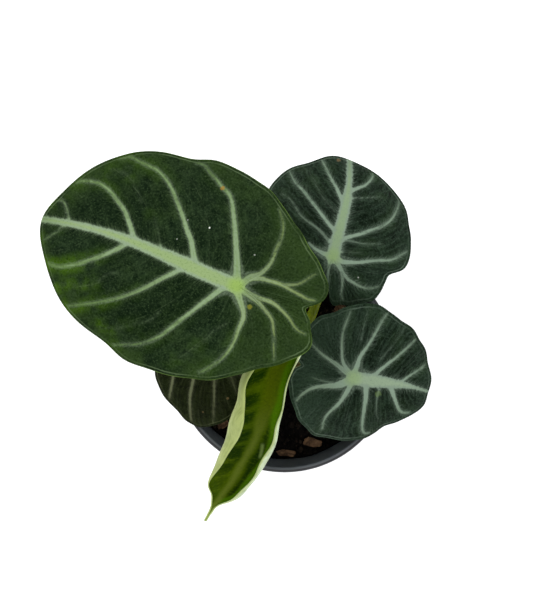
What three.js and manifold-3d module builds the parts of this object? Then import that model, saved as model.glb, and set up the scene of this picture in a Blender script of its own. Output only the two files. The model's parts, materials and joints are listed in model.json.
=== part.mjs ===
// Potted ninja alocasia: a young velvet-leaved aroid with five leaves in a round plastic nursery pot.
//
// Frame: millimetres, +Z up, origin at the centre of the pot's underside, +X and +Y across the pot.
// Every leaf is two pieces, a petiole and a shield-shaped blade carried on its end. A blade is a grid
// whose rows run along the side veins, from the midrib or the petiole's joint out to the margin.

import * as THREE from 'three';
import ManifoldModule from 'manifold-3d';

const manifold = await ManifoldModule();
manifold.setup();

// Clearance left between two pieces that touch on the real plant.
const GAP = 0.3;

// Pot: a thin tapered wall under a rolled lip, on a foot ring, with drain holes in a raised floor.
const POT = {
  height: 92, lipRadius: 52.5, wall: 1.5, floorUnder: 3, floorTop: 4.6,
  innerFoot: 36.8, innerTop: 50, footInner: 34.4, bossRadius: 8, lipDepth: 8.5,
  drainRadius: 3.6, drainRing: 24, drainCount: 8, sides: 48,
};

const SOIL = { level: 78, sides: 36, rings: 7 };

// Crown: the short upright stem that the petioles grow from, standing in a hole in the soil.
const CROWN = { x: 4, y: 4, foot: 60, shoulder: 84, top: 89, radius: 9, sides: 22 };

// Bark chips lie half sunk in the soil: place, length, width, height and turn in degrees.
const BARK = [
  { at: [13.8, -39.4], size: [9.6, 4.2, 3.2], turn: -16 },
  { at: [1, -44.5], size: [9.4, 3.2, 3], turn: -8 },
  { at: [-29.5, -30.5], size: [6, 4, 3], turn: 40 },
  { at: [27, 25], size: [9, 5, 3.4], turn: 65 },
  { at: [-24, 30], size: [8, 5, 3], turn: -35 },
];

// Blades. joint: where the petiole meets the blade. turn: heading of the tip, pitch down, roll.
// sag: how fast the blade falls away from the joint plane, in thousandths per millimetre.
// left and right: reach from joint to margin every 10 degrees of bearing, from the tip round to the
// sinus between the hind lobes. A vein is [start on the midrib, bend u, bend v, end bearing].
const REACH_STEP = 10;
const BLADES = {
  high: {
    joint: [-20.5, 35.3, 185], turn: [161.3, 10, -2], bow: -3.6, quilt: 1.1,
    sag: { tip: 1.6, rear: 5, left: 3.5, right: 4 },
    left: [92.7, 87.6, 81.3, 72.9, 64, 58.6, 52, 47.3, 43.7, 40.8, 38.2, 35.9, 35.1, 35.4, 36.6, 38,
      38.4, 33.8],
    right: [88.7, 83.4, 75.7, 66.8, 57.9, 53.8, 49, 44.4, 41.8, 37.6, 35.2, 33.9, 33.4, 33.9, 35.4,
      36.6, 35.5],
    sinus: 32, slit: { depth: 0.08, width: 5 },
    waves: [{ height: 1.5, count: 7, phase: 0.4 }, { height: 0.8, count: 12, phase: 2 }],
    veins: {
      left: [[81, 84, 4, 4], [50, 62, 16, 12], [23.5, 41, 22, 25], [3.5, 16, 30, 43], [0, -15, 21, 82],
        [0, -21, 5, 134], [0, -19, 3, 160]],
      right: [[81, 84, 9, 7], [50, 62, 22, 14], [23.5, 33, 33, 31], [3.5, 4, 31, 53], [0, -20, 19, 96],
        [0, -15, 11, 154], [0, -14, 5, 171]],
    },
  },
  back: {
    joint: [21.6, 48.9, 124], turn: [79, 22, 0], bow: -1.8, quilt: 0.9,
    sag: { tip: 3.5, rear: 40, left: 9, right: 9 },
    left: [55.2, 56.3, 54.7, 54.7, 51.5, 46.3, 41.5, 37.2, 33.6, 30.8, 28.1, 26, 24, 22.2, 20.7, 19.6,
      18.6, 18.3],
    right: [54.4, 52.5, 50.5, 47.9, 43.4, 40.1, 38.1, 34, 27.6, 25.9, 26.2, 25.5, 23.1, 20.7, 19.5,
      18.8, 18.4],
    sinus: 18, slit: { depth: 0.34, width: 7 },
    waves: [{ height: 1.1, count: 6, phase: 1.1 }, { height: 0.6, count: 11, phase: 0.3 }],
    veins: {
      left: [[35, 40, 6, 14], [12, 26, 19, 30], [1, 8, 22, 53], [0, -10, 15, 100], [0, -11, 2, 153]],
      right: [[35, 41, 11, 14], [12, 15, 25, 33], [1, -2, 20, 67], [0, -13, 10, 109], [0, -9, 5, 149]],
    },
  },
  side: {
    joint: [30.4, -5.5, 128], turn: [-13, 14, 10], bow: 1.2, quilt: 0.9,
    sag: { tip: 5, rear: 7, left: 8, right: 11 },
    left: [38.9, 39.3, 38, 37.4, 35.9, 35.3, 33.9, 33.3, 34.1, 32.6, 32, 31.3, 30.4, 30.3, 30.3, 29.7,
      28.8, 27.8],
    right: [40, 37.5, 34.5, 31.9, 33, 33.1, 33, 33.2, 33.5, 33.7, 32.4, 31.3, 30.1, 29.1, 28.6, 28.2,
      27.6],
    sinus: 27, slit: { depth: 0.1, width: 4 },
    waves: [{ height: 1.2, count: 6, phase: 2.2 }, { height: 0.7, count: 10, phase: 0.9 }],
    veins: {
      left: [[25, 29, 8, 20], [13, 16, 14, 41], [4, 1, 12, 70], [0, -15, 12, 104], [0, -14, 6, 148]],
      right: [[25, 26, 10, 17], [13, 15, 13, 46], [4, 10, 15, 62], [0, -7, 17, 96], [0, -14, 5, 139]],
    },
  },
  low: {
    joint: [-27.1, -1.4, 112], turn: [183, 10, -8], bow: 0.8, quilt: 0.7,
    sag: { tip: 6, rear: 7, left: 6.5, right: 7 },
    left: [35.2, 35.7, 35.7, 34.7, 34.2, 35, 34.6, 30.5, 27.6, 24, 20.5, 18.3, 16.9, 16.1, 15.3, 15,
      14.1, 13.5],
    right: [34.5, 33.2, 32.1, 31.2, 29.7, 28.1, 26.4, 24.1, 22.3, 20.2, 18.7, 17.1, 16, 14.7, 14.1,
      13.5, 13.1],
    sinus: 13, slit: { depth: 0.25, width: 7 },
    waves: [{ height: 1, count: 5, phase: 0.6 }, { height: 0.6, count: 9, phase: 1.4 }],
    veins: {
      left: [[22, 30, 5, 28], [12, 22, 12, 52], [4, 11, 15, 72], [0, -7, 8, 111], [0, -8, 3, 150]],
      right: [[22, 27, 6, 24], [12, 17, 12, 46], [4, 6, 13, 72], [0, -7, 8, 111], [0, -8, 3, 150]],
    },
  },
};
const BLADE = { thickness: 0.8, veinRib: 0.9, midRib: 1.5, marginRipple: 0.2, ripples: 17 };
// Steps of a blade's grid: across the gap between two veins, and along a vein.
const ACROSS = [0, 0.12, 0.5, 0.88];
const ALONG = [0, 0.06, 0.2, 0.4, 0.62, 0.82, 0.95, 1];

// The newest leaf is still rolled into a trough that hangs over the pot's lip and ends in a drip tip.
// Each station has its midrib point, the rolls' radii and how far round each roll has closed.
const YOUNG = [
  { mid: [4.5, 17, 149], radii: [6, 4.5], curl: [95, 95] },
  { mid: [1.8, 10, 150], radii: [12, 6], curl: [130, 120] },
  { mid: [-4.3, -2.8, 145], radii: [13.6, 5.8], curl: [128, 95] },
  { mid: [-6.9, -14.6, 139], radii: [13.8, 5.9], curl: [126, 97] },
  { mid: [-10.4, -24, 132], radii: [13.5, 7.3], curl: [146, 110] },
  { mid: [-13.6, -33.9, 122.5], radii: [12.8, 8.8], curl: [137, 122] },
  { mid: [-18.8, -44, 113], radii: [11.6, 9.9], curl: [129, 128] },
  { mid: [-24.1, -54.5, 103], radii: [10.4, 8.6], curl: [95, 118] },
  { mid: [-29.4, -62.5, 95.5], radii: [4.6, 7.7], curl: [92, 130] },
  { mid: [-32.9, -68, 90.5], radii: [1.4, 1.2], curl: [110, 110] },
  { mid: [-35.5, -72.5, 87], radii: [0.5, 0.3], curl: [85, 85] },
  { mid: [-37.9, -76.6, 84], radii: [0.2, 0.2], curl: [80, 80] },
];
const YOUNG_JOINT = 1;
const ROLL = { thickness: 1, tailThickness: 0.6, rise: 0.6, halfColumns: 7, substeps: 2, ruffle: 0.5 };

// Petioles: points from crown to joint, the last two along the blade's own normal.
const PETIOLE = { footRadius: 2.7, topRadius: 2, sides: 10, rings: 11, footZ: 79 };
const PETIOLES = {
  high: [[0.5, 8.6], [-1.5, 11.5, 105], [-6, 17.8, 130], [-12.6, 26, 155], [-19, 34, 176]],
  back: [[8, 8.2], [9.3, 13, 95], [12.2, 21.6, 105], [16.2, 33, 113.5]],
  side: [[9, 1], [12, 0, 98], [18, -2.3, 111], [24.5, -4.3, 119.5]],
  low: [[-1.3, 1.7], [-5, 1.3, 92], [-13, 0.3, 102], [-21, -0.8, 107]],
  young: [[4, 4], [3.9, 4.8, 100], [3.4, 7.4, 120], [2.6, 10, 134]],
};

const COLOURS = {
  pot: { color: 0x2b2c2e, roughness: 0.55 },
  soil: { color: 0x1d1712, roughness: 1 },
  crown: { color: 0x5f6130, roughness: 0.8 },
  bark: { color: 0x6a4632, roughness: 0.95 },
  petiole: { color: 0x7f8e1e, roughness: 0.5 },
  high: { color: 0x2b4623, roughness: 0.75 },
  back: { color: 0x2c4238, roughness: 0.75 },
  side: { color: 0x2c4238, roughness: 0.75 },
  low: { color: 0x2a2f1e, roughness: 0.8 },
  young: { color: 0x6f8f3f, roughness: 0.55 },
};

const radians = THREE.MathUtils.degToRad;
const part = new THREE.Group();

function addNode(name, geometry, look) {
  const mesh = new THREE.Mesh(geometry, new THREE.MeshStandardMaterial({ ...look, metalness: 0 }));
  mesh.name = name;
  part.add(mesh);
}

// Closed meshes from faces given by their corner points: equal points are joined and a face that has
// collapsed to a line is dropped.
class Skin {
  constructor() {
    this.points = [];
    this.faces = [];
    this.seen = new Map();
  }

  vertex(point) {
    const key = point.map((value) => Math.round(value * 5000)).join(' ');
    if (!this.seen.has(key)) {
      this.seen.set(key, this.points.length);
      this.points.push(point);
    }
    return this.seen.get(key);
  }

  triangle(a, b, c) {
    const corners = [this.vertex(a), this.vertex(b), this.vertex(c)];
    if (new Set(corners).size === 3) this.faces.push(corners);
  }

  // A four-sided face, always split from its first to its third corner.
  quad(a, b, c, d) {
    this.triangle(a, b, c);
    this.triangle(a, c, d);
  }

  geometry() {
    const geometry = new THREE.BufferGeometry();
    geometry.setAttribute('position', new THREE.Float32BufferAttribute(this.points.flat(), 3));
    geometry.setIndex(this.faces.flat());
    return geometry;
  }
}

// Booleans: geometry to a Manifold solid and back.
function solid(geometry) {
  const skin = new Skin();
  const flat = geometry.index ? geometry.toNonIndexed() : geometry;
  const position = flat.getAttribute('position');
  const corner = (index) => [position.getX(index), position.getY(index), position.getZ(index)];
  for (let i = 0; i < position.count; i += 3) skin.triangle(corner(i), corner(i + 1), corner(i + 2));
  return new manifold.Manifold(new manifold.Mesh({
    numProp: 3,
    vertProperties: new Float32Array(skin.points.flat()),
    triVerts: new Uint32Array(skin.faces.flat()),
  }));
}

function fromSolid(result) {
  const mesh = result.getMesh();
  const geometry = new THREE.BufferGeometry();
  geometry.setAttribute('position', new THREE.BufferAttribute(mesh.vertProperties, 3));
  geometry.setIndex(new THREE.BufferAttribute(mesh.triVerts, 1));
  return geometry;
}

// A lathe turns about +Y in three.js; this stands it up along +Z.
function lathe(profile, sides) {
  const geometry = new THREE.LatheGeometry(profile.map(([r, z]) => new THREE.Vector2(r, z)), sides);
  return geometry.rotateX(Math.PI / 2);
}

// Shield blades

// Reach from the joint to the margin at any bearing: a smooth closed curve through the listed reaches,
// cut in by the narrow sinus and rippled finely all round.
function reachAt(blade, bearing) {
  const ring = [...blade.left, blade.sinus, ...blade.right.slice().reverse()];
  const turn = ((bearing % 360) + 360) % 360;
  const index = Math.floor(turn / REACH_STEP) % ring.length;
  const f = turn / REACH_STEP - Math.floor(turn / REACH_STEP);
  const [a, b, c, d] = [-1, 0, 1, 2].map((k) => ring[(index + k + ring.length) % ring.length]);
  const smooth = b + 0.5 * f * (c - a + f * (2 * a - 5 * b + 4 * c - d + f * (3 * (b - c) + d - a)));
  const fromSinus = (turn - 180) / blade.slit.width;
  const ripple = BLADE.marginRipple * Math.sin(BLADE.ripples * radians(turn));
  return (smooth + ripple) * (1 - blade.slit.depth * Math.exp(-fromSinus * fromSinus));
}

function margin(blade, bearing) {
  const reach = reachAt(blade, bearing);
  return [reach * Math.cos(radians(bearing)), reach * Math.sin(radians(bearing))];
}

// Sideways bow of the midrib at a distance u from the joint.
function bowAt(blade, u) {
  return blade.bow * Math.sin(Math.PI * Math.pow(u / reachAt(blade, 0), 1.4));
}

// Rows of half a blade, from the tip, through its veins, to the sinus.
function keyRows(blade, side) {
  const tip = reachAt(blade, 0);
  return [[tip, tip, 0, 0], ...blade.veins[side], [0, -0.5 * reachAt(blade, 180), 0, 180]];
}

// Point of the blade in its own plane: row counts veins from the tip, t runs from midrib to margin.
function flowPoint(blade, side, row, t) {
  const rows = keyRows(blade, side);
  const first = Math.min(Math.floor(row), rows.length - 2);
  const f = row - first;
  const [start, bendU, bendV, bearing] = rows[first].map((value, k) => value + f * (rows[first + 1][k] - value));
  const sign = side === 'left' ? 1 : -1;
  const from = [start, start > 0 ? bowAt(blade, start) : 0];
  const to = margin(blade, sign * bearing);
  const [p, q, r] = [(1 - t) * (1 - t), 2 * t * (1 - t), t * t];
  return [p * from[0] + q * bendU + r * to[0], p * from[1] + q * sign * bendV + r * to[1]];
}

// Height above the joint plane: the sag, the waves that grow towards the margin, and the puffed
// cushions of leaf between the sunken veins.
function heightAt(blade, u, v, row, t) {
  const along = u > 0 ? blade.sag.tip : blade.sag.rear;
  const across = v > 0 ? blade.sag.left : blade.sag.right;
  const bearing = Math.atan2(v, u);
  const out = Math.pow(Math.min(1, Math.hypot(u, v) / reachAt(blade, THREE.MathUtils.radToDeg(bearing))), 4);
  const wave = blade.waves.reduce((sum, { height, count, phase }) => (
    sum + height * Math.sin(count * bearing + phase)), 0);
  const cushion = blade.quilt * Math.sin(Math.PI * (row % 1)) * Math.sin(Math.PI * Math.pow(t, 1.2));
  return -0.001 * (along * u * u + across * v * v) + out * wave + cushion;
}

// Thickness, with ribs under the midrib and the veins that fade towards the margin.
function thicknessAt(blade, side, row, t) {
  const last = keyRows(blade, side).length - 1;
  const onVein = row % 1 === 0 && row > 0 && row < last;
  const vein = onVein ? BLADE.veinRib * (1 - t) * Math.min(1, 8 * t) : 0;
  const mid = t === 0 ? BLADE.midRib * (row >= last - 3 ? 1 : 0.35 + 0.65 * row / last) : 0;
  return BLADE.thickness + vein + mid;
}

function bladeMatrix(blade) {
  const [heading, pitch, roll] = blade.turn.map(radians);
  const matrix = new THREE.Matrix4().makeRotationFromEuler(new THREE.Euler(roll, pitch, heading, 'ZYX'));
  return matrix.setPosition(...blade.joint);
}

function shieldBlade(blade) {
  const skin = new Skin();
  for (const side of ['left', 'right']) {
    const last = keyRows(blade, side).length - 1;
    const steps = [];
    for (let key = 0; key < last; key += 1) steps.push(...ACROSS.map((f) => key + f));
    steps.push(last);
    const grid = steps.map((row) => ALONG.map((t) => {
      const [u, v] = flowPoint(blade, side, row, t);
      const w = heightAt(blade, u, v, row, t);
      return { top: [u, v, w], under: [u, v, w - thicknessAt(blade, side, row, t)] };
    }));
    for (let i = 0; i + 1 < steps.length; i += 1) {
      for (let j = 0; j + 1 < ALONG.length; j += 1) {
        const corners = [grid[i][j], grid[i][j + 1], grid[i + 1][j + 1], grid[i + 1][j]];
        const top = corners.map((corner) => corner.top);
        const [a, b, c, d] = corners.map((corner) => corner.under);
        if (side === 'left') {
          skin.quad(...top);
          skin.triangle(a, c, b);
          skin.triangle(a, d, c);
        } else {
          const [p, q, r, s] = top;
          skin.triangle(p, r, q);
          skin.triangle(p, s, r);
          skin.quad(a, b, c, d);
        }
      }
      const edge = [grid[i].at(-1), grid[i + 1].at(-1)];
      if (side === 'right') edge.reverse();
      skin.quad(edge[0].top, edge[0].under, edge[1].under, edge[1].top);
    }
  }
  return skin.geometry().applyMatrix4(bladeMatrix(blade));
}

// Rolled young blade

// The stations, with extra ones worked out between them on a smooth curve.
function youngStations() {
  const values = YOUNG.map(({ mid, radii, curl }) => [...mid, ...radii, ...curl]);
  const stations = [];
  for (let i = 0; i + 1 < values.length; i += 1) {
    const [a, b, c, d] = [i - 1, i, i + 1, i + 2].map((k) => values[THREE.MathUtils.clamp(k, 0, values.length - 1)]);
    for (let step = 0; step < ROLL.substeps; step += 1) {
      const f = step / ROLL.substeps;
      stations.push(b.map((value, k) => value + 0.5 * f * (c[k] - a[k]
        + f * (2 * a[k] - 5 * value + 4 * c[k] - d[k] + f * (3 * (value - c[k]) + d[k] - a[k])))));
    }
  }
  stations.push(values.at(-1));
  return stations;
}

function rolledBlade() {
  const skin = new Skin();
  const grid = youngStations().map(([x, y, z, leftRadius, rightRadius, leftCurl, rightCurl], i) => {
    const column = [];
    for (let k = -ROLL.halfColumns; k <= ROLL.halfColumns; k += 1) {
      const share = k / ROLL.halfColumns;
      const radius = k < 0 ? leftRadius : rightRadius;
      const angle = radians(k < 0 ? leftCurl : rightCurl) * share;
      const ruffle = 1 + ROLL.ruffle * 0.1 * Math.pow(share, 4) * Math.sin(1.9 * i + share);
      const [sine, cosine] = [Math.sin(angle), Math.cos(angle)];
      const inside = [x + radius * ruffle * sine, y, z + ROLL.rise * radius * ruffle * (1 - cosine)];
      const length = Math.hypot(ROLL.rise * sine, cosine);
      const rib = k === 0 ? 0.8 * Math.min(1, radius / 6) : 0;
      const sheet = ROLL.tailThickness + (ROLL.thickness - ROLL.tailThickness) * Math.min(1, radius / 4);
      const out = (sheet + rib) / length;
      const outside = [inside[0] + out * ROLL.rise * sine, y, inside[2] - out * cosine];
      column.push({ inside, outside });
    }
    return column;
  });
  const rows = grid.length;
  const columns = grid[0].length;
  for (let i = 0; i + 1 < rows; i += 1) {
    for (let k = 0; k + 1 < columns; k += 1) {
      const corners = [grid[i][k], grid[i + 1][k], grid[i + 1][k + 1], grid[i][k + 1]];
      skin.quad(...corners.map((corner) => corner.inside));
      const [a, b, c, d] = corners.map((corner) => corner.outside);
      skin.triangle(a, c, b);
      skin.triangle(a, d, c);
    }
    const [left, nextLeft] = [grid[i][0], grid[i + 1][0]];
    const [right, nextRight] = [grid[i][columns - 1], grid[i + 1][columns - 1]];
    skin.quad(left.inside, left.outside, nextLeft.outside, nextLeft.inside);
    skin.quad(right.inside, nextRight.inside, nextRight.outside, right.outside);
  }
  for (let k = 0; k + 1 < columns; k += 1) {
    const [head, nextHead] = [grid[0][k], grid[0][k + 1]];
    const [tail, nextTail] = [grid[rows - 1][k], grid[rows - 1][k + 1]];
    skin.quad(head.inside, nextHead.inside, nextHead.outside, head.outside);
    skin.quad(tail.inside, tail.outside, nextTail.outside, nextTail.inside);
  }
  return skin.geometry();
}

// Petioles

// Where a petiole ends: just under the rib at the joint, square to the blade.
function jointOf(name) {
  if (name === 'young') {
    const [before, at, after] = [-1, 0, 1].map((k) => new THREE.Vector3(...YOUNG[YOUNG_JOINT + k].mid));
    const along = after.sub(before).normalize();
    const normal = new THREE.Vector3(1, 0, 0).cross(along).normalize();
    if (normal.z < 0) normal.negate();
    return { point: at, normal, depth: ROLL.thickness + 0.8 + GAP + 0.5 };
  }
  const matrix = bladeMatrix(BLADES[name]);
  const normal = new THREE.Vector3().setFromMatrixColumn(matrix, 2);
  const point = new THREE.Vector3().setFromMatrixPosition(matrix);
  return { point, normal, depth: BLADE.thickness + BLADE.midRib + GAP };
}

function petiolePath(name) {
  const { point, normal, depth } = jointOf(name);
  const end = point.clone().addScaledVector(normal, -depth);
  const beforeEnd = end.clone().addScaledVector(normal, -4);
  const [foot, ...between] = PETIOLES[name];
  const points = [[...foot, PETIOLE.footZ], ...between].map((values) => new THREE.Vector3(...values));
  return new THREE.CatmullRomCurve3([...points, beforeEnd, end], false, 'centripetal');
}

// A closed tube that tapers from foot to top, swells a little at the joint and is flared at the foot.
function petioleTube(path, grow) {
  const { sides, rings, footRadius, topRadius } = PETIOLE;
  const skin = new Skin();
  const frames = path.computeFrenetFrames(rings);
  const circles = [];
  for (let i = 0; i <= rings; i += 1) {
    const f = i / rings;
    const radius = topRadius + (footRadius - topRadius) * Math.pow(1 - f, 1.5) + grow;
    const centre = path.getPointAt(f);
    if (grow > 0 && i === 0) centre.addScaledVector(frames.tangents[0], -grow);
    const circle = [];
    for (let k = 0; k < sides; k += 1) {
      const angle = 2 * Math.PI * k / sides;
      circle.push(centre.clone()
        .addScaledVector(frames.normals[i], radius * Math.cos(angle))
        .addScaledVector(frames.binormals[i], radius * Math.sin(angle)).toArray());
    }
    circles.push(circle);
  }
  const [foot, top] = [circles[0], circles[rings]];
  for (let k = 0; k < sides; k += 1) {
    const next = (k + 1) % sides;
    for (let i = 0; i < rings; i += 1) {
      skin.quad(circles[i][k], circles[i][next], circles[i + 1][next], circles[i + 1][k]);
    }
    if (k > 0 && k + 1 < sides) {
      skin.triangle(foot[0], foot[k + 1], foot[k]);
      skin.triangle(top[0], top[k], top[k + 1]);
    }
  }
  return skin.geometry();
}

// Pot, soil, crown and bark

// Inner radius of the pot's wall at a height.
function innerRadius(z) {
  const { innerFoot, innerTop, floorTop, height } = POT;
  return innerFoot + (innerTop - innerFoot) * (z - floorTop) / (height - floorTop);
}

function potSolid() {
  const { height, lipRadius, wall, floorUnder, floorTop, footInner, bossRadius, lipDepth } = POT;
  const skirt = height - lipDepth;
  const profile = [
    [0, 0], [bossRadius, 0], [bossRadius + 1.2, floorUnder],
    [footInner - 1, floorUnder], [footInner, 0], [innerRadius(0) + wall - 0.4, 0],
    [innerRadius(1) + wall, 1], [innerRadius(skirt) + wall, skirt],
    [lipRadius - 0.4, skirt], [lipRadius, skirt + 0.6],
    [lipRadius, height - 1.6], [lipRadius - 0.7, height - 0.5], [lipRadius - 1.8, height],
    [innerRadius(height), height], [innerRadius(height - 0.9) - 0.1, height - 0.9],
    [innerRadius(floorTop + 1), floorTop + 1], [innerRadius(floorTop) - 1, floorTop], [0, floorTop],
  ];
  let pot = solid(lathe(profile, POT.sides));
  for (let i = 0; i < POT.drainCount; i += 1) {
    const angle = 2 * Math.PI * (i + 0.5) / POT.drainCount;
    const drill = new THREE.CylinderGeometry(POT.drainRadius, POT.drainRadius, 10, 14);
    drill.rotateX(Math.PI / 2);
    drill.translate(POT.drainRing * Math.cos(angle), POT.drainRing * Math.sin(angle), floorTop / 2);
    pot = pot.subtract(solid(drill));
  }
  return pot;
}

// Top of the soil: low mounds from a few crossed waves, a little higher round the crown.
function soilTop(x, y) {
  const mound = 1.5 * Math.exp(-((x - CROWN.x) ** 2 + (y - CROWN.y) ** 2) / 300);
  const lumps = 0.7 * Math.sin(0.21 * x + 1.2) * Math.cos(0.18 * y - 0.6)
    + 0.45 * Math.sin(0.47 * x - 0.33 * y) + 0.3 * Math.sin(0.71 * y + 0.52 * x + 2);
  return SOIL.level + mound + lumps;
}

function soilSolid() {
  const skin = new Skin();
  const bottom = POT.floorTop + GAP;
  const footRadius = innerRadius(bottom) - 1.2;
  const wallRadius = (z) => innerRadius(z) - GAP - 0.15;
  const ringAt = (radius, z) => {
    const ring = [];
    for (let k = 0; k < SOIL.sides; k += 1) {
      const angle = 2 * Math.PI * k / SOIL.sides;
      const [x, y] = [radius * Math.cos(angle), radius * Math.sin(angle)];
      ring.push([x, y, z === null ? soilTop(x, y) : z]);
    }
    return ring;
  };
  const rings = [ringAt(footRadius, bottom), ringAt(wallRadius(bottom + 1.2), bottom + 1.2)];
  const rim = wallRadius(SOIL.level - 1);
  for (let i = SOIL.rings; i > 0; i -= 1) rings.push(ringAt(rim * i / SOIL.rings, null));
  for (let k = 0; k < SOIL.sides; k += 1) {
    const next = (k + 1) % SOIL.sides;
    skin.triangle([0, 0, bottom], rings[0][next], rings[0][k]);
    for (let i = 0; i + 1 < rings.length; i += 1) {
      skin.quad(rings[i][k], rings[i][next], rings[i + 1][next], rings[i + 1][k]);
    }
    skin.triangle(rings.at(-1)[k], rings.at(-1)[next], [0, 0, soilTop(0, 0)]);
  }
  return solid(skin.geometry());
}

function crownSolid(grow) {
  const { x, y, foot, shoulder, top, radius, sides } = CROWN;
  const profile = [
    [0, foot - grow], [radius - 1.5 + grow, foot - grow], [radius + grow, foot + 4],
    [radius + grow, shoulder], [radius - 2.5 + grow, top - 1.5], [0, top + grow],
  ];
  return solid(lathe(profile, sides).translate(x, y, 0));
}

// A chip is a box with its corners knocked about by a fixed rule and its top face drawn in.
function chipSolid(chip, index, grow) {
  const [length, width, height] = chip.size.map((side) => side + 2 * grow);
  const box = new THREE.BoxGeometry(length, width, height);
  const position = box.getAttribute('position');
  for (let i = 0; i < position.count; i += 1) {
    const [x, y, z] = [Math.sign(position.getX(i)), Math.sign(position.getY(i)), Math.sign(position.getZ(i))];
    const knock = Math.sin(3.1 * x + 5.3 * y + 2.2 * z + 1.7 * index);
    const drawn = z > 0 ? 0.82 : 1;
    position.setXYZ(i, 0.5 * x * drawn * (length + knock), 0.5 * y * drawn * (width + 0.6 * knock),
      0.5 * z * (height + 0.5 * knock));
  }
  const [x, y] = chip.at;
  box.rotateZ(radians(chip.turn));
  box.translate(x, y, soilTop(x, y) + 0.1 * chip.size[2]);
  return solid(box);
}

// Assembly

let soil = soilSolid().subtract(crownSolid(GAP));
let crown = crownSolid(0);
for (const name of Object.keys(PETIOLES)) crown = crown.subtract(solid(petioleTube(petiolePath(name), GAP)));
BARK.forEach((chip, index) => {
  soil = soil.subtract(chipSolid(chip, index, GAP));
});

addNode('pot', fromSolid(potSolid()), COLOURS.pot);
addNode('soil', fromSolid(soil), COLOURS.soil);
addNode('crown', fromSolid(crown), COLOURS.crown);
BARK.forEach((chip, index) => {
  addNode(`bark_chip_${index + 1}`, fromSolid(chipSolid(chip, index, 0)), COLOURS.bark);
});
for (const name of Object.keys(PETIOLES)) {
  addNode(`leaf_${name}_petiole`, petioleTube(petiolePath(name), 0), COLOURS.petiole);
}
for (const name of Object.keys(BLADES)) {
  addNode(`leaf_${name}_blade`, shieldBlade(BLADES[name]), COLOURS[name]);
}
addNode('leaf_young_blade', rolledBlade(), COLOURS.young);

export default part;
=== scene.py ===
# %% [markdown]
# # A potted ninja alocasia
#
# The plant is a small aroid grown for its dark velvet leaves with broad pale veins. It has five
# leaves, the newest still rolled up, and stands in a black plastic nursery pot. The pot, the soil and
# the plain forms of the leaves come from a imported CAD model. This script dresses them: it makes finer
# pieces in the same places and gives every surface a material worked out by nodes.

# %% Load the frame
import json
import math

import bpy
import numpy as np
from mathutils import Matrix, Vector, noise


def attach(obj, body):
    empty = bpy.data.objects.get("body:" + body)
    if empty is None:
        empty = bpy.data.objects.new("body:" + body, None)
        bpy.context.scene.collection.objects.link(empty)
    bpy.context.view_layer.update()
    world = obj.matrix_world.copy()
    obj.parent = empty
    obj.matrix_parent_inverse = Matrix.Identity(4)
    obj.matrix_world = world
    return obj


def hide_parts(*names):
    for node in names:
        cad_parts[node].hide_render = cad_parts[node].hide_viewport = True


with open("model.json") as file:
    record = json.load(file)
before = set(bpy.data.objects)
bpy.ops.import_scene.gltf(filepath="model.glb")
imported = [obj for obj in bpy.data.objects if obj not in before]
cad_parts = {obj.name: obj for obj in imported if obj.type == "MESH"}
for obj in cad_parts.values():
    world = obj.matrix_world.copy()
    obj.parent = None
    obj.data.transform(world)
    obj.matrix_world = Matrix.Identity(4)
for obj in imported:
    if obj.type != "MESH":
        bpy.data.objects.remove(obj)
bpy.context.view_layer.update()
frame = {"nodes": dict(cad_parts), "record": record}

MM = 0.001
record = frame["record"]
print("CAD nodes:", len(frame["nodes"]), "for a", record["type"])

# %% [markdown]
# ## The camera
#
# The picture was taken from straight above, so the pot's lip is a true circle in it. The lip's size in
# the picture gives the camera's height, and the sideways place follows from where the lip's centre
# falls. A camera that looks down has its top edge towards +Y, which is how the plant was laid out.

# %% Camera
IMAGE_LONG_SIDE = 593
FOCAL_PIXELS = 1435.0
SENSOR = 36.0
CAMERA_AT = (-8.44, 31.04, 772.0)

camera_data = bpy.data.cameras.new("camera")
camera_data.sensor_fit = "AUTO"
camera_data.sensor_width = SENSOR
camera_data.lens = FOCAL_PIXELS * SENSOR / IMAGE_LONG_SIDE
camera_data.clip_end = 20.0
camera = bpy.data.objects.new("camera", camera_data)
camera.location = [value * MM for value in CAMERA_AT]
bpy.context.scene.collection.objects.link(camera)
bpy.context.scene.camera = camera
print("lens %.1f mm" % camera_data.lens)

# %% [markdown]
# ## Small helpers
#
# Operators act on everything that is selected, so each piece starts from an empty selection. Reading
# and writing all vertices as one array is much quicker than a loop when a leaf has thousands.

# %% Helpers for selection and vertices
def clear_selection():
    bpy.ops.object.select_all(action="DESELECT")


def only(piece):
    clear_selection()
    piece.select_set(True)
    bpy.context.view_layer.objects.active = piece


def points_of(piece):
    flat = np.empty(len(piece.data.vertices) * 3)
    piece.data.vertices.foreach_get("co", flat)
    return flat.reshape(-1, 3)


def place_points(piece, points):
    piece.data.vertices.foreach_set("co", np.asarray(points, float).ravel())
    piece.data.update()


def edit_all(piece, *steps):
    """Runs operators on the whole piece in edit mode."""
    only(piece)
    bpy.ops.object.mode_set(mode="EDIT")
    bpy.ops.mesh.select_all(action="SELECT")
    for step, settings in steps:
        step(**settings)
    bpy.ops.object.mode_set(mode="OBJECT")


def finish_piece(piece, materials, replaces=()):
    """Gives a piece its materials, hangs it under the root body and hides the CAD parts it replaces."""
    while len(piece.data.materials) < len(materials):
        piece.data.materials.append(None)
    for index, material in enumerate(materials):
        piece.data.materials[index] = material
    only(piece)
    bpy.ops.object.shade_smooth()
    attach(piece, "root")
    if replaces:
        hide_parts(*replaces)
    print(piece.name, len(piece.data.polygons), "faces")


# %% [markdown]
# ## Shader maths
#
# A leaf's colour depends on how far a point is from the nearest vein, from the margin and from the
# stalk. Written as nodes that is a long chain, so a small class lets a socket be used in ordinary
# Python sums. Every operator adds the Math node that does it.

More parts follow.
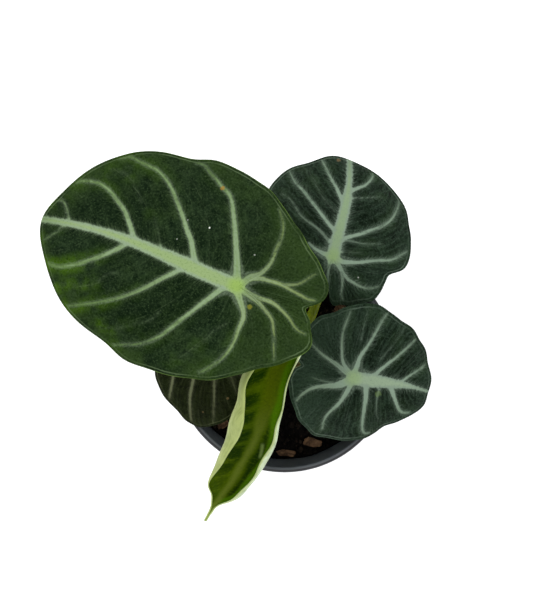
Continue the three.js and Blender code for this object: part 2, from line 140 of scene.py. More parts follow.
# %% Sockets in sums
class Number:
    """A number that a socket carries; sums on it add Math nodes."""

    def __init__(self, paint, socket):
        self.paint = paint
        self.socket = socket

    def maths(self, operation, *others):
        values = dict(enumerate((self,) + others))
        return self.paint.node("ShaderNodeMath", {"operation": operation}, values)

    def __add__(self, other):
        return self.maths("ADD", other)

    def __radd__(self, other):
        return self.maths("ADD", other)

    def __sub__(self, other):
        return self.maths("SUBTRACT", other)

    def __rsub__(self, other):
        return (self * -1.0).maths("ADD", other)

    def __mul__(self, other):
        return self.maths("MULTIPLY", other)

    def __rmul__(self, other):
        return self.maths("MULTIPLY", other)

    def __truediv__(self, other):
        return self.maths("DIVIDE", other)

    def size(self):
        return self.maths("ABSOLUTE")

    def smaller(self, other):
        return self.maths("MINIMUM", other)

    def larger(self, other):
        return self.maths("MAXIMUM", other)

    def step(self, low, high):
        """Rises smoothly from 0 at low to 1 at high, or falls where low is the larger."""
        settings = {"interpolation_type": "SMOOTHSTEP"}
        values = {0: self, 1: low, 2: high, 3: 0.0, 4: 1.0}
        return self.paint.node("ShaderNodeMapRange", settings, values)


class Paint:
    """A material and its node tree."""

    def __init__(self, name):
        self.material = bpy.data.materials.new(name)
        self.material.use_nodes = True
        self.tree = self.material.node_tree
        self.tree.nodes.clear()

    def node(self, kind, settings=None, values=None, output=0):
        made = self.tree.nodes.new(kind)
        for key, value in (settings or {}).items():
            setattr(made, key, value)
        for key, value in (values or {}).items():
            if isinstance(value, Number):
                self.tree.links.new(value.socket, made.inputs[key])
            elif isinstance(value, tuple) and len(value) == 3 and made.inputs[key].type == "RGBA":
                made.inputs[key].default_value = value + (1.0,)
            else:
                made.inputs[key].default_value = value
        return Number(self, made.outputs[output])

    def attribute(self, name):
        """The three numbers of a vector attribute."""
        vector = self.node("ShaderNodeAttribute", {"attribute_name": name}, output="Vector")
        return [self.node("ShaderNodeSeparateXYZ", None, {0: vector}, output=axis) for axis in range(3)]

    def vector(self, x, y, z=0.0):
        return self.node("ShaderNodeCombineXYZ", None, {0: x, 1: y, 2: z})

    def object_axes(self):
        place = self.node("ShaderNodeTexCoord", output="Object")
        return [self.node("ShaderNodeSeparateXYZ", None, {0: place}, output=axis) for axis in range(3)]

    def noise(self, x, y, z=0.0, scale=1.0, detail=2.0, roughness=0.5):
        values = {"Vector": self.vector(x, y, z), "Scale": scale, "Detail": detail, "Roughness": roughness}
        return self.node("ShaderNodeTexNoise", None, values)

    def cells(self, x, y, z=0.0, scale=1.0):
        """Distance to the border of the nearest cell."""
        settings = {"feature": "DISTANCE_TO_EDGE"}
        return self.node("ShaderNodeTexVoronoi", settings, {"Vector": self.vector(x, y, z), "Scale": scale})

    def blend(self, share, first, second, mode="MIX"):
        """Colour from first to second by share."""
        settings = {"data_type": "RGBA", "blend_type": mode}
        return self.node("ShaderNodeMix", settings, {0: share, 6: first, 7: second}, output=2)

    def finish(self, colour, roughness, height=None, relief=MM, **constants):
        """Ends the material in one Principled shader; height is in millimetres."""
        values = {"Base Color": colour, "Roughness": roughness}
        for key, value in constants.items():
            values[key.replace("_", " ")] = value
        if height is not None:
            values["Normal"] = self.node("ShaderNodeBump", None, {"Distance": relief, "Height": height})
        shader = self.node("ShaderNodeBsdfPrincipled", None, values)
        end = self.tree.nodes.new("ShaderNodeOutputMaterial")
        self.tree.links.new(shader.socket, end.inputs["Surface"])
        return self.material


# %% [markdown]
# ## The leaves' shapes
#
# A ninja alocasia's leaf is a shield: the stalk meets it inside the blade and the veins spread from
# there. Such a blade could be cut from a flat outline and bent, but then its mesh wouldn't follow the
# veins. Here each half of a blade is a grid whose rows run along the side veins, so ribs, cushions and
# colours all line up. Sizes are millimetres in the blade's own plane, with the joint at its origin.

# %% Leaf measures
REACH_STEP = 10
LEAVES = {
    "high": {
        "joint": (-20.5, 35.3, 185), "turn": (161.3, 10, -2), "bow": -3.6, "quilt": 1.1,
        "sag": {"tip": 1.6, "rear": 5, "left": 3.5, "right": 4},
        "left": [92.7, 87.6, 81.3, 72.9, 64, 58.6, 52, 47.3, 43.7, 40.8, 38.2, 35.9, 35.1, 35.4, 36.6,
            38, 38.4, 33.8],
        "right": [88.7, 83.4, 75.7, 66.8, 57.9, 53.8, 49, 44.4, 41.8, 37.6, 35.2, 33.9, 33.4, 33.9,
            35.4, 36.6, 35.5],
        "sinus": 32, "slit": (0.08, 5), "waves": [(1.5, 7, 0.4), (0.8, 12, 2)],
        "midrib": [(0, 3.1), (0.25, 3.2), (0.4, 2.5), (0.55, 2.1), (0.7, 1.6), (1, 1.3)],
        "breadth": (0.95, 0.85),
        "veins": {
            "left": [(81, 84, 4, 4), (50, 62, 16, 12), (23.5, 41, 22, 25), (3.5, 16, 30, 43),
                     (0, -15, 21, 82), (0, -21, 5, 134), (0, -19, 3, 160)],
            "right": [(81, 84, 9, 7), (50, 62, 22, 14), (23.5, 33, 33, 31), (3.5, 4, 31, 53),
                      (0, -20, 19, 96), (0, -15, 11, 154), (0, -14, 5, 171)],
        },
    },
    "back": {
        "joint": (21.6, 48.9, 124), "turn": (79, 22, 0), "bow": -1.8, "quilt": 0.9,
        "sag": {"tip": 3.5, "rear": 40, "left": 9, "right": 9},
        "left": [55.2, 56.3, 54.7, 54.7, 51.5, 46.3, 41.5, 37.2, 33.6, 30.8, 28.1, 26, 24, 22.2, 20.7,
            19.6, 18.6, 18.3],
        "right": [54.4, 52.5, 50.5, 47.9, 43.4, 40.1, 38.1, 34, 27.6, 25.9, 26.2, 25.5, 23.1, 20.7,
            19.5, 18.8, 18.4],
        "sinus": 18, "slit": (0.34, 7), "waves": [(1.1, 6, 1.1), (0.6, 11, 0.3)],
        "midrib": [(0, 3.0), (0.3, 2.6), (0.55, 2.4), (0.75, 1.6), (1, 1.4)],
        "breadth": (0.95, 0.80),
        "veins": {
            "left": [(35, 40, 6, 14), (12, 26, 19, 30), (1, 8, 22, 53),
                     (0, -10, 15, 100), (0, -11, 2, 153)],
            "right": [(35, 41, 11, 14), (12, 15, 25, 33), (1, -2, 20, 67),
                      (0, -13, 10, 109), (0, -9, 5, 149)],
        },
    },
    "side": {
        "joint": (30.4, -5.5, 128), "turn": (-13, 14, 10), "bow": 1.2, "quilt": 0.9,
        "sag": {"tip": 5, "rear": 7, "left": 8, "right": 11},
        "left": [38.9, 39.3, 38, 37.4, 35.9, 35.3, 33.9, 33.3, 34.1, 32.6, 32, 31.3, 30.4, 30.3, 30.3,
            29.7, 28.8, 27.8],
        "right": [40, 37.5, 34.5, 31.9, 33, 33.1, 33, 33.2, 33.5, 33.7, 32.4, 31.3, 30.1, 29.1, 28.6,
            28.2, 27.6],
        "sinus": 27, "slit": (0.1, 4), "waves": [(1.2, 6, 2.2), (0.7, 10, 0.9)],
        "midrib": [(0, 3.1), (0.25, 3.2), (0.45, 2.4), (0.65, 1.6), (0.8, 0.9), (1, 0.6)],
        "breadth": (0.95, 0.80),
        "veins": {
            "left": [(25, 29, 8, 20), (13, 16, 14, 41), (4, 1, 12, 70),
                     (0, -15, 12, 104), (0, -14, 6, 148)],
            "right": [(25, 26, 10, 17), (13, 15, 13, 46), (4, 10, 15, 62),
                      (0, -7, 17, 96), (0, -14, 5, 139)],
        },
    },
    "low": {
        "joint": (-27.1, -1.4, 112), "turn": (183, 10, -8), "bow": 0.8, "quilt": 0.7,
        "sag": {"tip": 6, "rear": 7, "left": 6.5, "right": 7},
        "left": [35.2, 35.7, 35.7, 34.7, 34.2, 35, 34.6, 30.5, 27.6, 24, 20.5, 18.3, 16.9, 16.1, 15.3,
            15, 14.1, 13.5],
        "right": [34.5, 33.2, 32.1, 31.2, 29.7, 28.1, 26.4, 24.1, 22.3, 20.2, 18.7, 17.1, 16, 14.7,
            14.1, 13.5, 13.1],
        "sinus": 13, "slit": (0.25, 7), "waves": [(1, 5, 0.6), (0.6, 9, 1.4)],
        "midrib": [(0, 1.8), (0.5, 1.2), (1, 0.6)],
        "breadth": (1, 1),
        "veins": {
            "left": [(22, 30, 5, 28), (12, 22, 12, 52), (4, 11, 15, 72), (0, -7, 8, 111), (0, -8, 3, 150)],
            "right": [(22, 27, 6, 24), (12, 17, 12, 46), (4, 6, 13, 72), (0, -7, 8, 111), (0, -8, 3, 150)],
        },
    },
}
RIPPLE = (0.2, 17)
BLADE_THICKNESS = 0.8
MARGIN_THINNING = 0.4
VEIN_RIB = 0.9
VEIN_RIB_WIDTH = 1.1
MID_RIB = 1.5
MID_RIB_WIDTH = 1.9

# %% Outline and rows of a blade
def reach(leaf, bearing):
    """Distance from the joint to the margin at each bearing in degrees."""
    ring = np.array(leaf["left"] + [leaf["sinus"]] + leaf["right"][::-1], float)
    turn = np.mod(bearing, 360.0)
    index = np.floor(turn / REACH_STEP).astype(int) % len(ring)
    f = turn / REACH_STEP - np.floor(turn / REACH_STEP)
    a, b, c, d = [ring[(index + k) % len(ring)] for k in (-1, 0, 1, 2)]
    smooth = b + 0.5 * f * (c - a + f * (2 * a - 5 * b + 4 * c - d + f * (3 * (b - c) + d - a)))
    depth, width = leaf["slit"]
    ripple = RIPPLE[0] * np.sin(RIPPLE[1] * np.radians(turn))
    return (smooth + ripple) * (1 - depth * np.exp(-((turn - 180) / width) ** 2))


def bow(leaf, u):
    share = np.clip(u / reach(leaf, 0.0), 0, 1)
    return leaf["bow"] * np.sin(np.pi * share ** 1.4)


def key_rows(leaf, side):
    """Start, bend and end of each row: the tip, the veins and the sinus."""
    tip = float(reach(leaf, 0.0))
    sinus = -0.5 * float(reach(leaf, 180.0))
    return np.array([(tip, tip, 0, 0)] + leaf["veins"][side] + [(0, sinus, 0, 180)], float)


def flow(leaf, side, row, t):
    """Points of half a blade in its plane: row counts veins, t runs from midrib to margin."""
    keys = key_rows(leaf, side)
    first = np.minimum(np.floor(row + 1e-9).astype(int), len(keys) - 2)
    f = (row - first)[:, None]
    start, bend_u, bend_v, bearing = (keys[first] + f * (keys[first + 1] - keys[first])).T
    sign = 1 if side == "left" else -1
    far = reach(leaf, sign * bearing)
    angle = np.radians(sign * bearing)
    start_v = np.where(start > 0, bow(leaf, start), 0.0)
    p, q, r = (1 - t) ** 2, 2 * t * (1 - t), t * t
    u = p * start + q * bend_u + r * far * np.cos(angle)
    v = p * start_v + q * sign * bend_v + r * far * np.sin(angle)
    return u, v


# %% [markdown]
# ## Where the pale veins run
#
# The rows follow the main veins only roughly, and real veins also fork. So the visible veins were
# traced over the picture, a few points each, in the picture's own coordinates. A line of sight
# from the camera through such a point meets the blade's curved surface at the place to be painted.
# Each vein has its width at the root and at the end in millimetres, and how pale it is. The leaf's
# breadth then scales those widths, at the root and from halfway outwards.

# %% Traced veins
TRACED = {
    "high": [
        (2.1, 1, 1, [(134, 241), (131.5, 230), (128, 220), (124, 210), (116.5, 200), (109, 190.5),
            (99, 183.5), (90, 181), (80, 180.5), (73, 182.5)]),
        (2.3, 0.9, 1, [(195, 264), (193, 252), (191, 240), (187, 230), (184, 220), (180.5, 210),
            (176.5, 200), (172.5, 190), (167, 180), (158, 170.5), (150, 166.5), (140, 161.5), (130, 157),
            (121, 158.5)]),
        (2.7, 0.7, 0.95, [(237, 280), (237, 262), (236, 245), (235, 230), (233.5, 215), (231.5, 200),
            (228.5, 193.5), (222, 186.5), (216.5, 179.5), (210, 172.5), (204, 165), (196, 163)]),
        (2.1, 0.8, 0.75, [(241, 285), (250, 277), (259, 274.5), (265.5, 269.5), (269.5, 265), (272.5, 260),
            (276, 250), (280, 241), (282.5, 231), (282.5, 222), (280, 210)]),
        (2.1, 0.8, 0.9, [(241, 285), (250, 279), (260, 278.5), (270, 281), (280, 284), (290, 289.5),
            (300, 295), (307, 299), (314, 300.5)]),
        (1, 0.6, 0.5, [(284, 285), (291, 285), (298, 284.3), (304, 281.5), (310, 277.5), (315, 274.5),
            (320, 272)]),
        (1.9, 0.6, 0.85, [(241, 288), (250, 294.5), (260, 298.5), (270, 301.5), (276, 305), (280.5, 309),
            (286, 314.5), (290.5, 320), (294, 326), (299, 331), (305, 334)]),
        (1.9, 0.6, 0.8, [(245, 292), (253, 298), (260, 304), (265, 310), (269.5, 315.5), (272.5, 321),
            (273.5, 330), (274, 340), (273.5, 350), (274, 361)]),
        (2.4, 0.8, 1, [(237, 291), (240, 300), (243, 310), (243.5, 317), (241, 324), (238, 330.5),
            (234.5, 340), (229, 350), (219.5, 360), (212, 365.5), (205, 370), (198, 372.5)]),
        (2.3, 0.7, 1, [(228, 285), (220, 290), (210, 297.5), (200, 305), (190, 313), (180, 320.5),
            (170, 328.5), (160, 336), (150, 341), (140, 344), (128, 344.5), (112, 345)]),
        (2, 0.7, 1, [(188, 264), (180, 269.5), (170, 274.5), (160, 279.5), (150, 285), (140, 290),
            (130, 294), (120, 297.5), (110, 300), (100, 302), (90, 303.5), (80, 304.5), (68, 306)]),
        (2.1, 1.1, 1, [(134, 239), (127, 243), (120, 247.5), (112, 251.5), (105, 254.5), (98, 257.3),
            (90, 260), (80, 263.5), (70, 265.5), (61, 266.7), (54, 265.5), (47, 262.5)]),
        (0.9, 0.5, 0.5, [(70, 222), (64, 226.5), (58, 231.5), (51, 236.5), (45, 240)]),
        (0.9, 0.6, 0.55, [(69, 219), (67.5, 213), (66, 207), (64, 202.5), (61, 200.3), (57, 200.5),
            (53, 203)]),
        (0.5, 0.3, 0.12, [(142, 202), (137, 190), (130, 178), (120, 171), (108, 169)]),
        (0.5, 0.3, 0.10, [(161, 247), (159, 235), (156, 225), (153, 213)]),
        (0.5, 0.3, 0.13, [(118, 273), (108, 274), (101, 280), (92, 285), (80, 286), (68, 284), (58, 286)]),
        (0.5, 0.3, 0.13, [(160, 312), (150, 320), (138, 323), (125, 327), (110, 328), (98, 327)]),
        (0.5, 0.3, 0.13, [(226, 324), (214, 331), (205, 340), (196, 347), (184, 355), (170, 360)]),
    ],
    "back": [
        (2, 1.1, 1, [(344, 202), (339.5, 195), (336.5, 188), (331.5, 180), (326.5, 170), (321.5, 160)]),
        (1.8, 0.8, 1, [(336, 231), (330, 225), (326, 220), (318.5, 210), (310.5, 200), (303, 190),
            (297.5, 184.5), (294, 179), (291.5, 174), (289.5, 169)]),
        (1.3, 0.6, 0.4, [(329, 241), (320, 231), (313, 225.5), (305, 220), (299.5, 214.5), (295.5, 208),
            (290, 200), (282, 194)]),
        (2.2, 1.3, 1, [(331, 256), (324, 253.5), (318, 250.5), (313.5, 247.5), (309, 243)]),
        (1.6, 0.6, 0.5, [(331, 259), (329, 266), (328, 274), (328, 283)]),
        (1.9, 1.1, 1, [(347, 193), (353, 190), (360, 187), (365, 185), (369.5, 181), (372.5, 176.5),
            (373.5, 171.5)]),
        (0.8, 0.4, 0.35, [(352, 198), (368, 198), (383, 197.5)]),
        (2.1, 1, 1, [(336, 242), (343, 239), (350, 236.5), (360, 234), (370, 230.5), (380, 227),
            (386, 223.5), (391, 219.5), (395, 213.5), (398, 206), (399.5, 200)]),
        (1.1, 0.5, 0.35, [(341, 240), (350, 241), (362, 243.8), (372, 244.5), (383, 245)]),
        (2.4, 0.9, 1, [(334, 257), (342, 261.5), (350, 262.3), (360, 262.3), (370, 261), (380, 260.2),
            (389, 259.8), (395, 258), (401, 255), (407, 251.5)]),
        (2.1, 0.6, 0.85, [(335, 259), (339, 266), (343, 273), (348, 279.5), (354, 283), (360, 286.5),
            (366, 288.3), (372, 288.5), (379, 286.5)]),
        (1.3, 0.6, 0.6, [(342, 272), (342.5, 281), (342, 288), (341, 294), (343, 300)]),
        (0.6, 0.3, 0.2, [(339, 252), (350, 252.5), (362, 253.5)]),
        (0.6, 0.3, 0.18, [(334, 211), (325, 201), (318, 190), (312, 178), (304, 168)]),
    ],
    "side": [
        (1.4, 0.9, 1, [(397, 386), (401, 382), (405, 379), (410, 375.5), (416, 372), (422, 368.5),
            (429, 363)]),
        (2, 1.1, 1, [(370, 381), (374.5, 375.5), (380, 370), (385, 366), (390, 362), (395, 358.5),
            (400, 354), (405, 349.5), (410, 344.5), (416.5, 337.5)]),
        (2.2, 1, 1, [(353, 375), (357, 366), (359, 359), (362, 353.5), (366.5, 347.5), (371.5, 340),
            (377, 330), (382.5, 320), (386.5, 314.5), (389.5, 311)]),
        (1.8, 0.9, 0.85, [(351, 374), (345.5, 367), (342.5, 360), (342, 350), (342, 340), (343.3, 330),
            (346.5, 320.5), (350, 311)]),
        (2.2, 0.9, 0.85, [(351, 375), (343, 369.5), (336, 364), (330, 360), (325, 356.5), (320, 352.3),
            (315.5, 348), (311, 343)]),
        (1.9, 1.3, 1, [(391, 388), (393, 394), (395, 400), (397, 405.5), (399.5, 410.3), (403.5, 412.7),
            (409, 412.8)]),
        (0.9, 0.5, 0.3, [(379, 390), (377, 398), (376.3, 406), (376.5, 413), (379, 421)]),
        (2.2, 1.3, 1, [(366, 384), (366, 392), (365.5, 400), (364, 410), (362.5, 420), (362, 428),
            (364, 432.5), (369, 433)]),
        (2.1, 1.3, 1, [(352, 380), (348.5, 389), (343, 398), (337.5, 405), (332, 410), (327, 415),
            (324, 420.5), (322.3, 429)]),
        (3.1, 0.7, 1, [(350, 380), (341, 384), (333, 385.5), (326, 386), (320, 386.7), (314, 387.7),
            (309, 389.8), (304, 393), (299.5, 397), (295.5, 402), (294, 409)]),
        (0.8, 0.4, 0.35, [(335, 383), (322, 380.5), (312, 377)]),
        (0.5, 0.3, 0.2, [(361, 340), (363, 328), (367, 317), (370, 309)]),
        (0.5, 0.3, 0.2, [(381, 358), (392, 345), (401, 332), (407, 322)]),
    ],
    "low": [
        (1.2, 0.8, 1.0, [(174, 370), (173, 378), (170, 394), (168, 403)]),
        (1.5, 0.9, 1.0, [(194, 368), (193, 380), (190, 396), (190, 410), (191, 423)]),
        (1.2, 0.7, 0.8, [(213, 368), (214, 381), (214, 400), (213, 423)]),
        (0.9, 0.5, 0.4, [(228, 368), (233, 382), (237, 395)]),
        (1.2, 0.8, 0.9, [(176, 369), (172, 352), (167, 340)]),
        (1.2, 0.8, 0.9, [(196, 368), (192, 350), (188, 336)]),
        (1.2, 0.8, 0.9, [(216, 367), (215, 350), (212, 338)]),
        (0.9, 0.6, 0.6, [(227, 366), (236, 355), (243, 346)]),
        (0.9, 0.6, 0.6, [(228, 367), (238, 371), (245, 377)]),
    ],
}
IMAGE_CENTRE = (266.5, 296.5)


def blade_turn(leaf):
    heading, pitch, roll = [math.radians(angle) for angle in leaf["turn"]]
    return Matrix.Rotation(heading, 4, "Z") @ Matrix.Rotation(pitch, 4, "Y") @ Matrix.Rotation(roll, 4, "X")


def sag_at(leaf, u, v):
    sag = leaf["sag"]
    along = np.where(u > 0, sag["tip"], sag["rear"])
    across = np.where(v > 0, sag["left"], sag["right"])
    return -0.001 * (along * u * u + across * v * v)


def seen_at(leaf, pixel):
    """Where the line of sight through a point of the picture meets the sagging blade."""
    rightwards = (pixel[0] - IMAGE_CENTRE[0]) / FOCAL_PIXELS
    upwards = (IMAGE_CENTRE[1] - pixel[1]) / FOCAL_PIXELS
    turned = blade_turn(leaf).to_3x3().transposed()
    ray = turned @ Vector((rightwards, upwards, -1))
    eye = turned @ (Vector(CAMERA_AT) - Vector(leaf["joint"]))
    w = 0.0
    for _ in range(8):
        spot = eye + ray * ((w - eye.z) / ray.z)
        w = float(sag_at(leaf, spot.x, spot.y))
    return spot.x, spot.y


def smooth_between(values, at):
    """Catmull-Rom curve through rows of values."""
    values = np.asarray(values, float)
    index = np.minimum(np.floor(at).astype(int), len(values) - 2)
    f = (at - index)[:, None]
    a, b, c, d = [values[np.clip(index + k, 0, len(values) - 1)] for k in (-1, 0, 1, 2)]
    return b + 0.5 * f * (c - a + f * (2 * a - 5 * b + 4 * c - d + f * (3 * (b - c) + d - a)))


# %% [markdown]
# ## From rows to a blade
#
# Each half starts as a grid primitive and is moved onto its rows. The two halves are joined and merged
# along the midrib, then a Solidify modifier gives the blade its thickness. A vertex group makes it
# thicker along the ribs and thinner at the margin. Before that, each vertex stores its distances to
# the midrib, the veins and the margin, because the material paints from them.

# %% Distances that the material needs
NO_VEIN = 99.0
VEIN_SAMPLES = 160
ROW_SAMPLES = 120
ROOT_FLARE = 0.22
FLARE_LENGTH = 3.5
NOISE_SHIFT = 40


def nearest(points, line):
    """Distance from each point to a line of samples, and how far along the line that is."""
    gaps = np.linalg.norm(points[:, None, :] - line[None, :, :], axis=2)
    index = gaps.argmin(axis=1)
    return gaps[np.arange(len(points)), index], index / (len(line) - 1)


def traced_gaps(place, leaf, points):
    """For the nearest traced vein: gap to its edge and to its middle, length, share and paleness."""
    best = np.full((5, len(points)), NO_VEIN)
    for number, (root, end, pale, pixels) in enumerate(TRACED[place]):
        knots = np.array([seen_at(leaf, pixel) for pixel in pixels])
        line = smooth_between(knots, np.linspace(0, len(knots) - 1, VEIN_SAMPLES))
        gap, share = nearest(points, line)
        length = np.linalg.norm(np.diff(line, axis=0), axis=1).sum()
        breadth = np.interp(share, (0, 0.5), leaf["breadth"])
        flare = ROOT_FLARE * root * np.exp(-share * length / FLARE_LENGTH)
        to_edge = gap - 0.5 * (root + (end - root) * share) * breadth - flare
        course = share * length + NOISE_SHIFT * number
        found = np.stack([to_edge, gap, course, share, np.full(len(points), pale)])
        best = np.where(to_edge < best[0], found, best)
    return best


def half_row_gap(leaf, side, points):
    """Distance to the fine veins halfway between two rows."""
    samples = np.linspace(0, 1, ROW_SAMPLES)
    found = np.full(len(points), NO_VEIN)
    for number in range(len(leaf["veins"][side]) + 1):
        u, v = flow(leaf, side, np.full(len(samples), number + 0.5), samples)
        gap, _ = nearest(points, np.stack([u, v], 1))
        found = np.minimum(found, gap)
    return found


def height(leaf, u, v, row, t):
    """Height over the joint plane: sag, waves at the margin and cushions between the veins."""
    bearing = np.arctan2(v, u)
    out = np.minimum(1, np.hypot(u, v) / reach(leaf, np.degrees(bearing))) ** 4
    wave = sum(size * np.sin(count * bearing + phase) for size, count, phase in leaf["waves"])
    cushion = leaf["quilt"] * np.sin(np.pi * (row % 1)) * np.sin(np.pi * t ** 1.2)
    return sag_at(leaf, u, v) + out * wave + cushion


# %% Half a blade
SUB_ROWS = 18
COLUMNS = 52
COLUMN_CROWDING = 1.1
SPINE_SAMPLES = 200
ROW_MM = 12.0
VEIN_GROOVE = 0.3
GROOVE_WIDTH = 1.5


def store(piece, name, *columns):
    attribute = piece.data.attributes.new(name, "FLOAT_VECTOR", "POINT")
    attribute.data.foreach_set("vector", np.stack(columns, 1).astype(np.float32).ravel())


def weigh(piece, weights):
    """Fills the vertex group that a thickness modifier follows."""
    group = piece.vertex_groups.new(name="thickness")
    for index, weight in enumerate(np.round(weights, 3)):
        group.add([index], float(weight), "REPLACE")


def half_blade(place, leaf, side):
    intervals = len(leaf["veins"][side]) + 1
    clear_selection()
    bpy.ops.mesh.primitive_grid_add(x_subdivisions=intervals * SUB_ROWS, y_subdivisions=COLUMNS, size=1)
    half = bpy.context.object
    half.name = "half_" + side
    square = points_of(half) + 0.5
    row = square[:, 0] * intervals
    t = square[:, 1] ** COLUMN_CROWDING
    u, v = flow(leaf, side, row, t)
    plane = np.stack([u, v], 1)
    edge_gap, middle, length, share, pale = traced_gaps(place, leaf, plane)
    fine = half_row_gap(leaf, side, plane)
    spine_u = np.linspace(0, float(reach(leaf, 0.0)), SPINE_SAMPLES)
    mid, mid_share = nearest(plane, np.stack([spine_u, bow(leaf, spine_u)], 1))
    mid_width = np.interp(mid_share, *np.array(leaf["midrib"]).T)
    edge = np.maximum(0, reach(leaf, np.degrees(np.arctan2(v, u))) - np.hypot(u, v))
    groove = VEIN_GROOVE * np.exp(-(middle / GROOVE_WIDTH) ** 2) * (1 - 0.6 * share) * pale
    w = height(leaf, u, v, row, t) - groove
    place_points(half, np.stack([u, v, w], 1))
    store(half, "ribs", mid - mid_width, edge_gap, middle)
    store(half, "course", length, share, pale)
    store(half, "flow", row * ROW_MM, t * np.hypot(u, v), edge)
    store(half, "plane", u, v, np.hypot(u, v))
    store(half, "fine", fine, mid, mid_share)
    rib = VEIN_RIB * np.exp(-(middle / VEIN_RIB_WIDTH) ** 2) * (1 - 0.7 * share)
    rib = rib * np.clip(edge / 4, 0, 1) * pale
    rib = np.maximum(rib, MID_RIB * np.exp(-(mid / MID_RIB_WIDTH) ** 2) * (1 - 0.65 * mid_share))
    sheet = BLADE_THICKNESS * (1 - MARGIN_THINNING + MARGIN_THINNING * np.clip(edge / 2.0, 0, 1))
    weigh(half, (sheet + rib) / (BLADE_THICKNESS + MID_RIB))
    turned = sum(polygon.normal.z for polygon in half.data.polygons)
    if turned < 0:
        edit_all(half, (bpy.ops.mesh.flip_normals, {}))
    return half


# %% Whole blade
def blade_matrix(leaf):
    return Matrix.Scale(MM, 4) @ Matrix.Translation(leaf["joint"]) @ blade_turn(leaf)


def thicken(piece, most):
    """Solid sheet with the thickness group, downwards from the upper face."""
    only(piece)
    modifier = piece.modifiers.new("thickness", "SOLIDIFY")
    modifier.thickness = most
    modifier.offset = -1
    modifier.vertex_group = "thickness"
    modifier.material_offset = 1
    modifier.material_offset_rim = 1
    bpy.ops.object.modifier_apply(modifier=modifier.name)


def blade(place, leaf):
    halves = [half_blade(place, leaf, side) for side in ("left", "right")]
    clear_selection()
    for half in halves:
        half.select_set(True)
    bpy.context.view_layer.objects.active = halves[0]
    bpy.ops.object.join()
    piece = bpy.context.object
    piece.name = "blade_" + place
    edit_all(piece, (bpy.ops.mesh.remove_doubles, {"threshold": 0.02}))
    piece.data.materials.append(None)
    piece.data.materials.append(None)
    thicken(piece, BLADE_THICKNESS + MID_RIB)
    piece.data.transform(blade_matrix(leaf))
    return piece


# %% [markdown]
# ## Velvet leaf material
#
# The upper face is almost black-green and velvety, with broad pale bands along the veins. The bands
# have frayed edges, because the small veins that leave them are pale at their roots. The material takes
# the stored distances, frays them with stretched noise, and mixes the colours by the result.

# %% Distances and bands
class BladePlaces:
    """A blade's stored distances as sockets, and the noises that several of its layers share."""

    def __init__(self, paint):
        self.mid_gap, self.vein_gap, self.vein_from = paint.attribute("ribs")
        self.length, self.share, self.pale = paint.attribute("course")
        self.across, self.along, self.edge = paint.attribute("flow")
        self.u, self.v, self.joint = paint.attribute("plane")
        self.minor, self.mid_from, self.mid_share = paint.attribute("fine")
        self.patches = paint.noise(self.u * 0.05, self.v * 0.05, 1.0, detail=3)
        self.streak = paint.noise(self.across * 0.8, self.along * 0.11, 5.0, detail=5, roughness=0.65)
        self.grain = paint.noise(self.u * 1.1, self.v * 1.1, 2.0, detail=4, roughness=0.75)
        self.net = paint.cells(self.across * 0.35, self.along * 0.16, 2.0)


def pale_bands(paint, at, look):
    """Bands along the veins with frayed edges; the ones beside the midrib run into it softly."""
    at.fray = paint.noise(at.length * 0.8, at.vein_from * 0.5, 1.0, detail=4, roughness=0.65) - 0.5
    comb = paint.noise(at.u * 0.9, at.mid_from * 0.35, at.v * 0.02, detail=4, roughness=0.65) - 0.5
    at.near = at.mid_gap.step(2.0, 0.0)
    at.vein_side = at.vein_gap + at.fray * 0.7
    at.mid_side = at.mid_gap + comb * look["comb"]
    at.gap = at.mid_side.maths("SMOOTH_MIN", at.vein_side, look["merge"])
    fade = (at.share.step(1.25, 0.55) * 0.60 + 0.40) * at.pale
    fade = fade.larger(at.near) * at.edge.step(0.3, 2.5)
    at.fade = at.mid_side.step(1.2, 0.0).larger(fade)
    at.band = at.gap.step(look["soft"], -look["soft"]) * at.fade


# %% Between the veins
def dark_velvet(paint, at, look):
    """Patches, mottling, and ridges along the side veins, with painted shade in the furrows and painted
    highlights on the crests.
    """
    u, v = at.u, at.v
    wander = paint.noise(at.across * 0.12, at.along * 0.09, 8.0, detail=3, roughness=0.6)
    # Ridges along the side veins, shown in patches: they make the bump and also a painted shade in the
    # furrows and a painted highlight on the crests
    at.ridge = (at.across * (look["ridges"] / ROW_MM) + wander * 2.0).maths("PINGPONG", 0.5) * 2.0
    at.worn = paint.noise(u * 0.13, v * 0.13, 17.0, detail=3).step(0.28, 0.52) * at.joint.step(4.0, 13.0)
    furrow_shade = at.ridge.step(0.42, 0.0) * at.worn
    crest_highlight = at.ridge.step(0.62, 1.0) * at.worn
    mottle = paint.noise(u * 0.24, v * 0.24, 23.0, detail=5, roughness=0.65)
    worn_green = paint.noise(u * 0.06, v * 0.06, 31.0, detail=4, roughness=0.6).step(0.45, 0.70)
    lamina = paint.blend(at.patches.step(0.40, 0.62), look["deep"], look["cool"])
    lamina = paint.blend(worn_green * look["fresh_share"], lamina, look["fresh"])
    lamina = paint.blend(at.streak.step(0.42, 0.80) * 0.35, lamina, look["light"])
    lamina = paint.blend(mottle.step(0.56, 0.36) * 0.80, lamina, look["dark"])
    lamina = paint.blend(mottle.step(0.56, 0.78) * 0.45, lamina, look["light"])
    # Painted shade in the furrows and painted highlight on the ridge crests
    lamina = paint.blend(furrow_shade * look["wrinkle"], lamina, look["dark"])
    return paint.blend(crest_highlight * look["wrinkle"] * 0.45, lamina, look["light"])


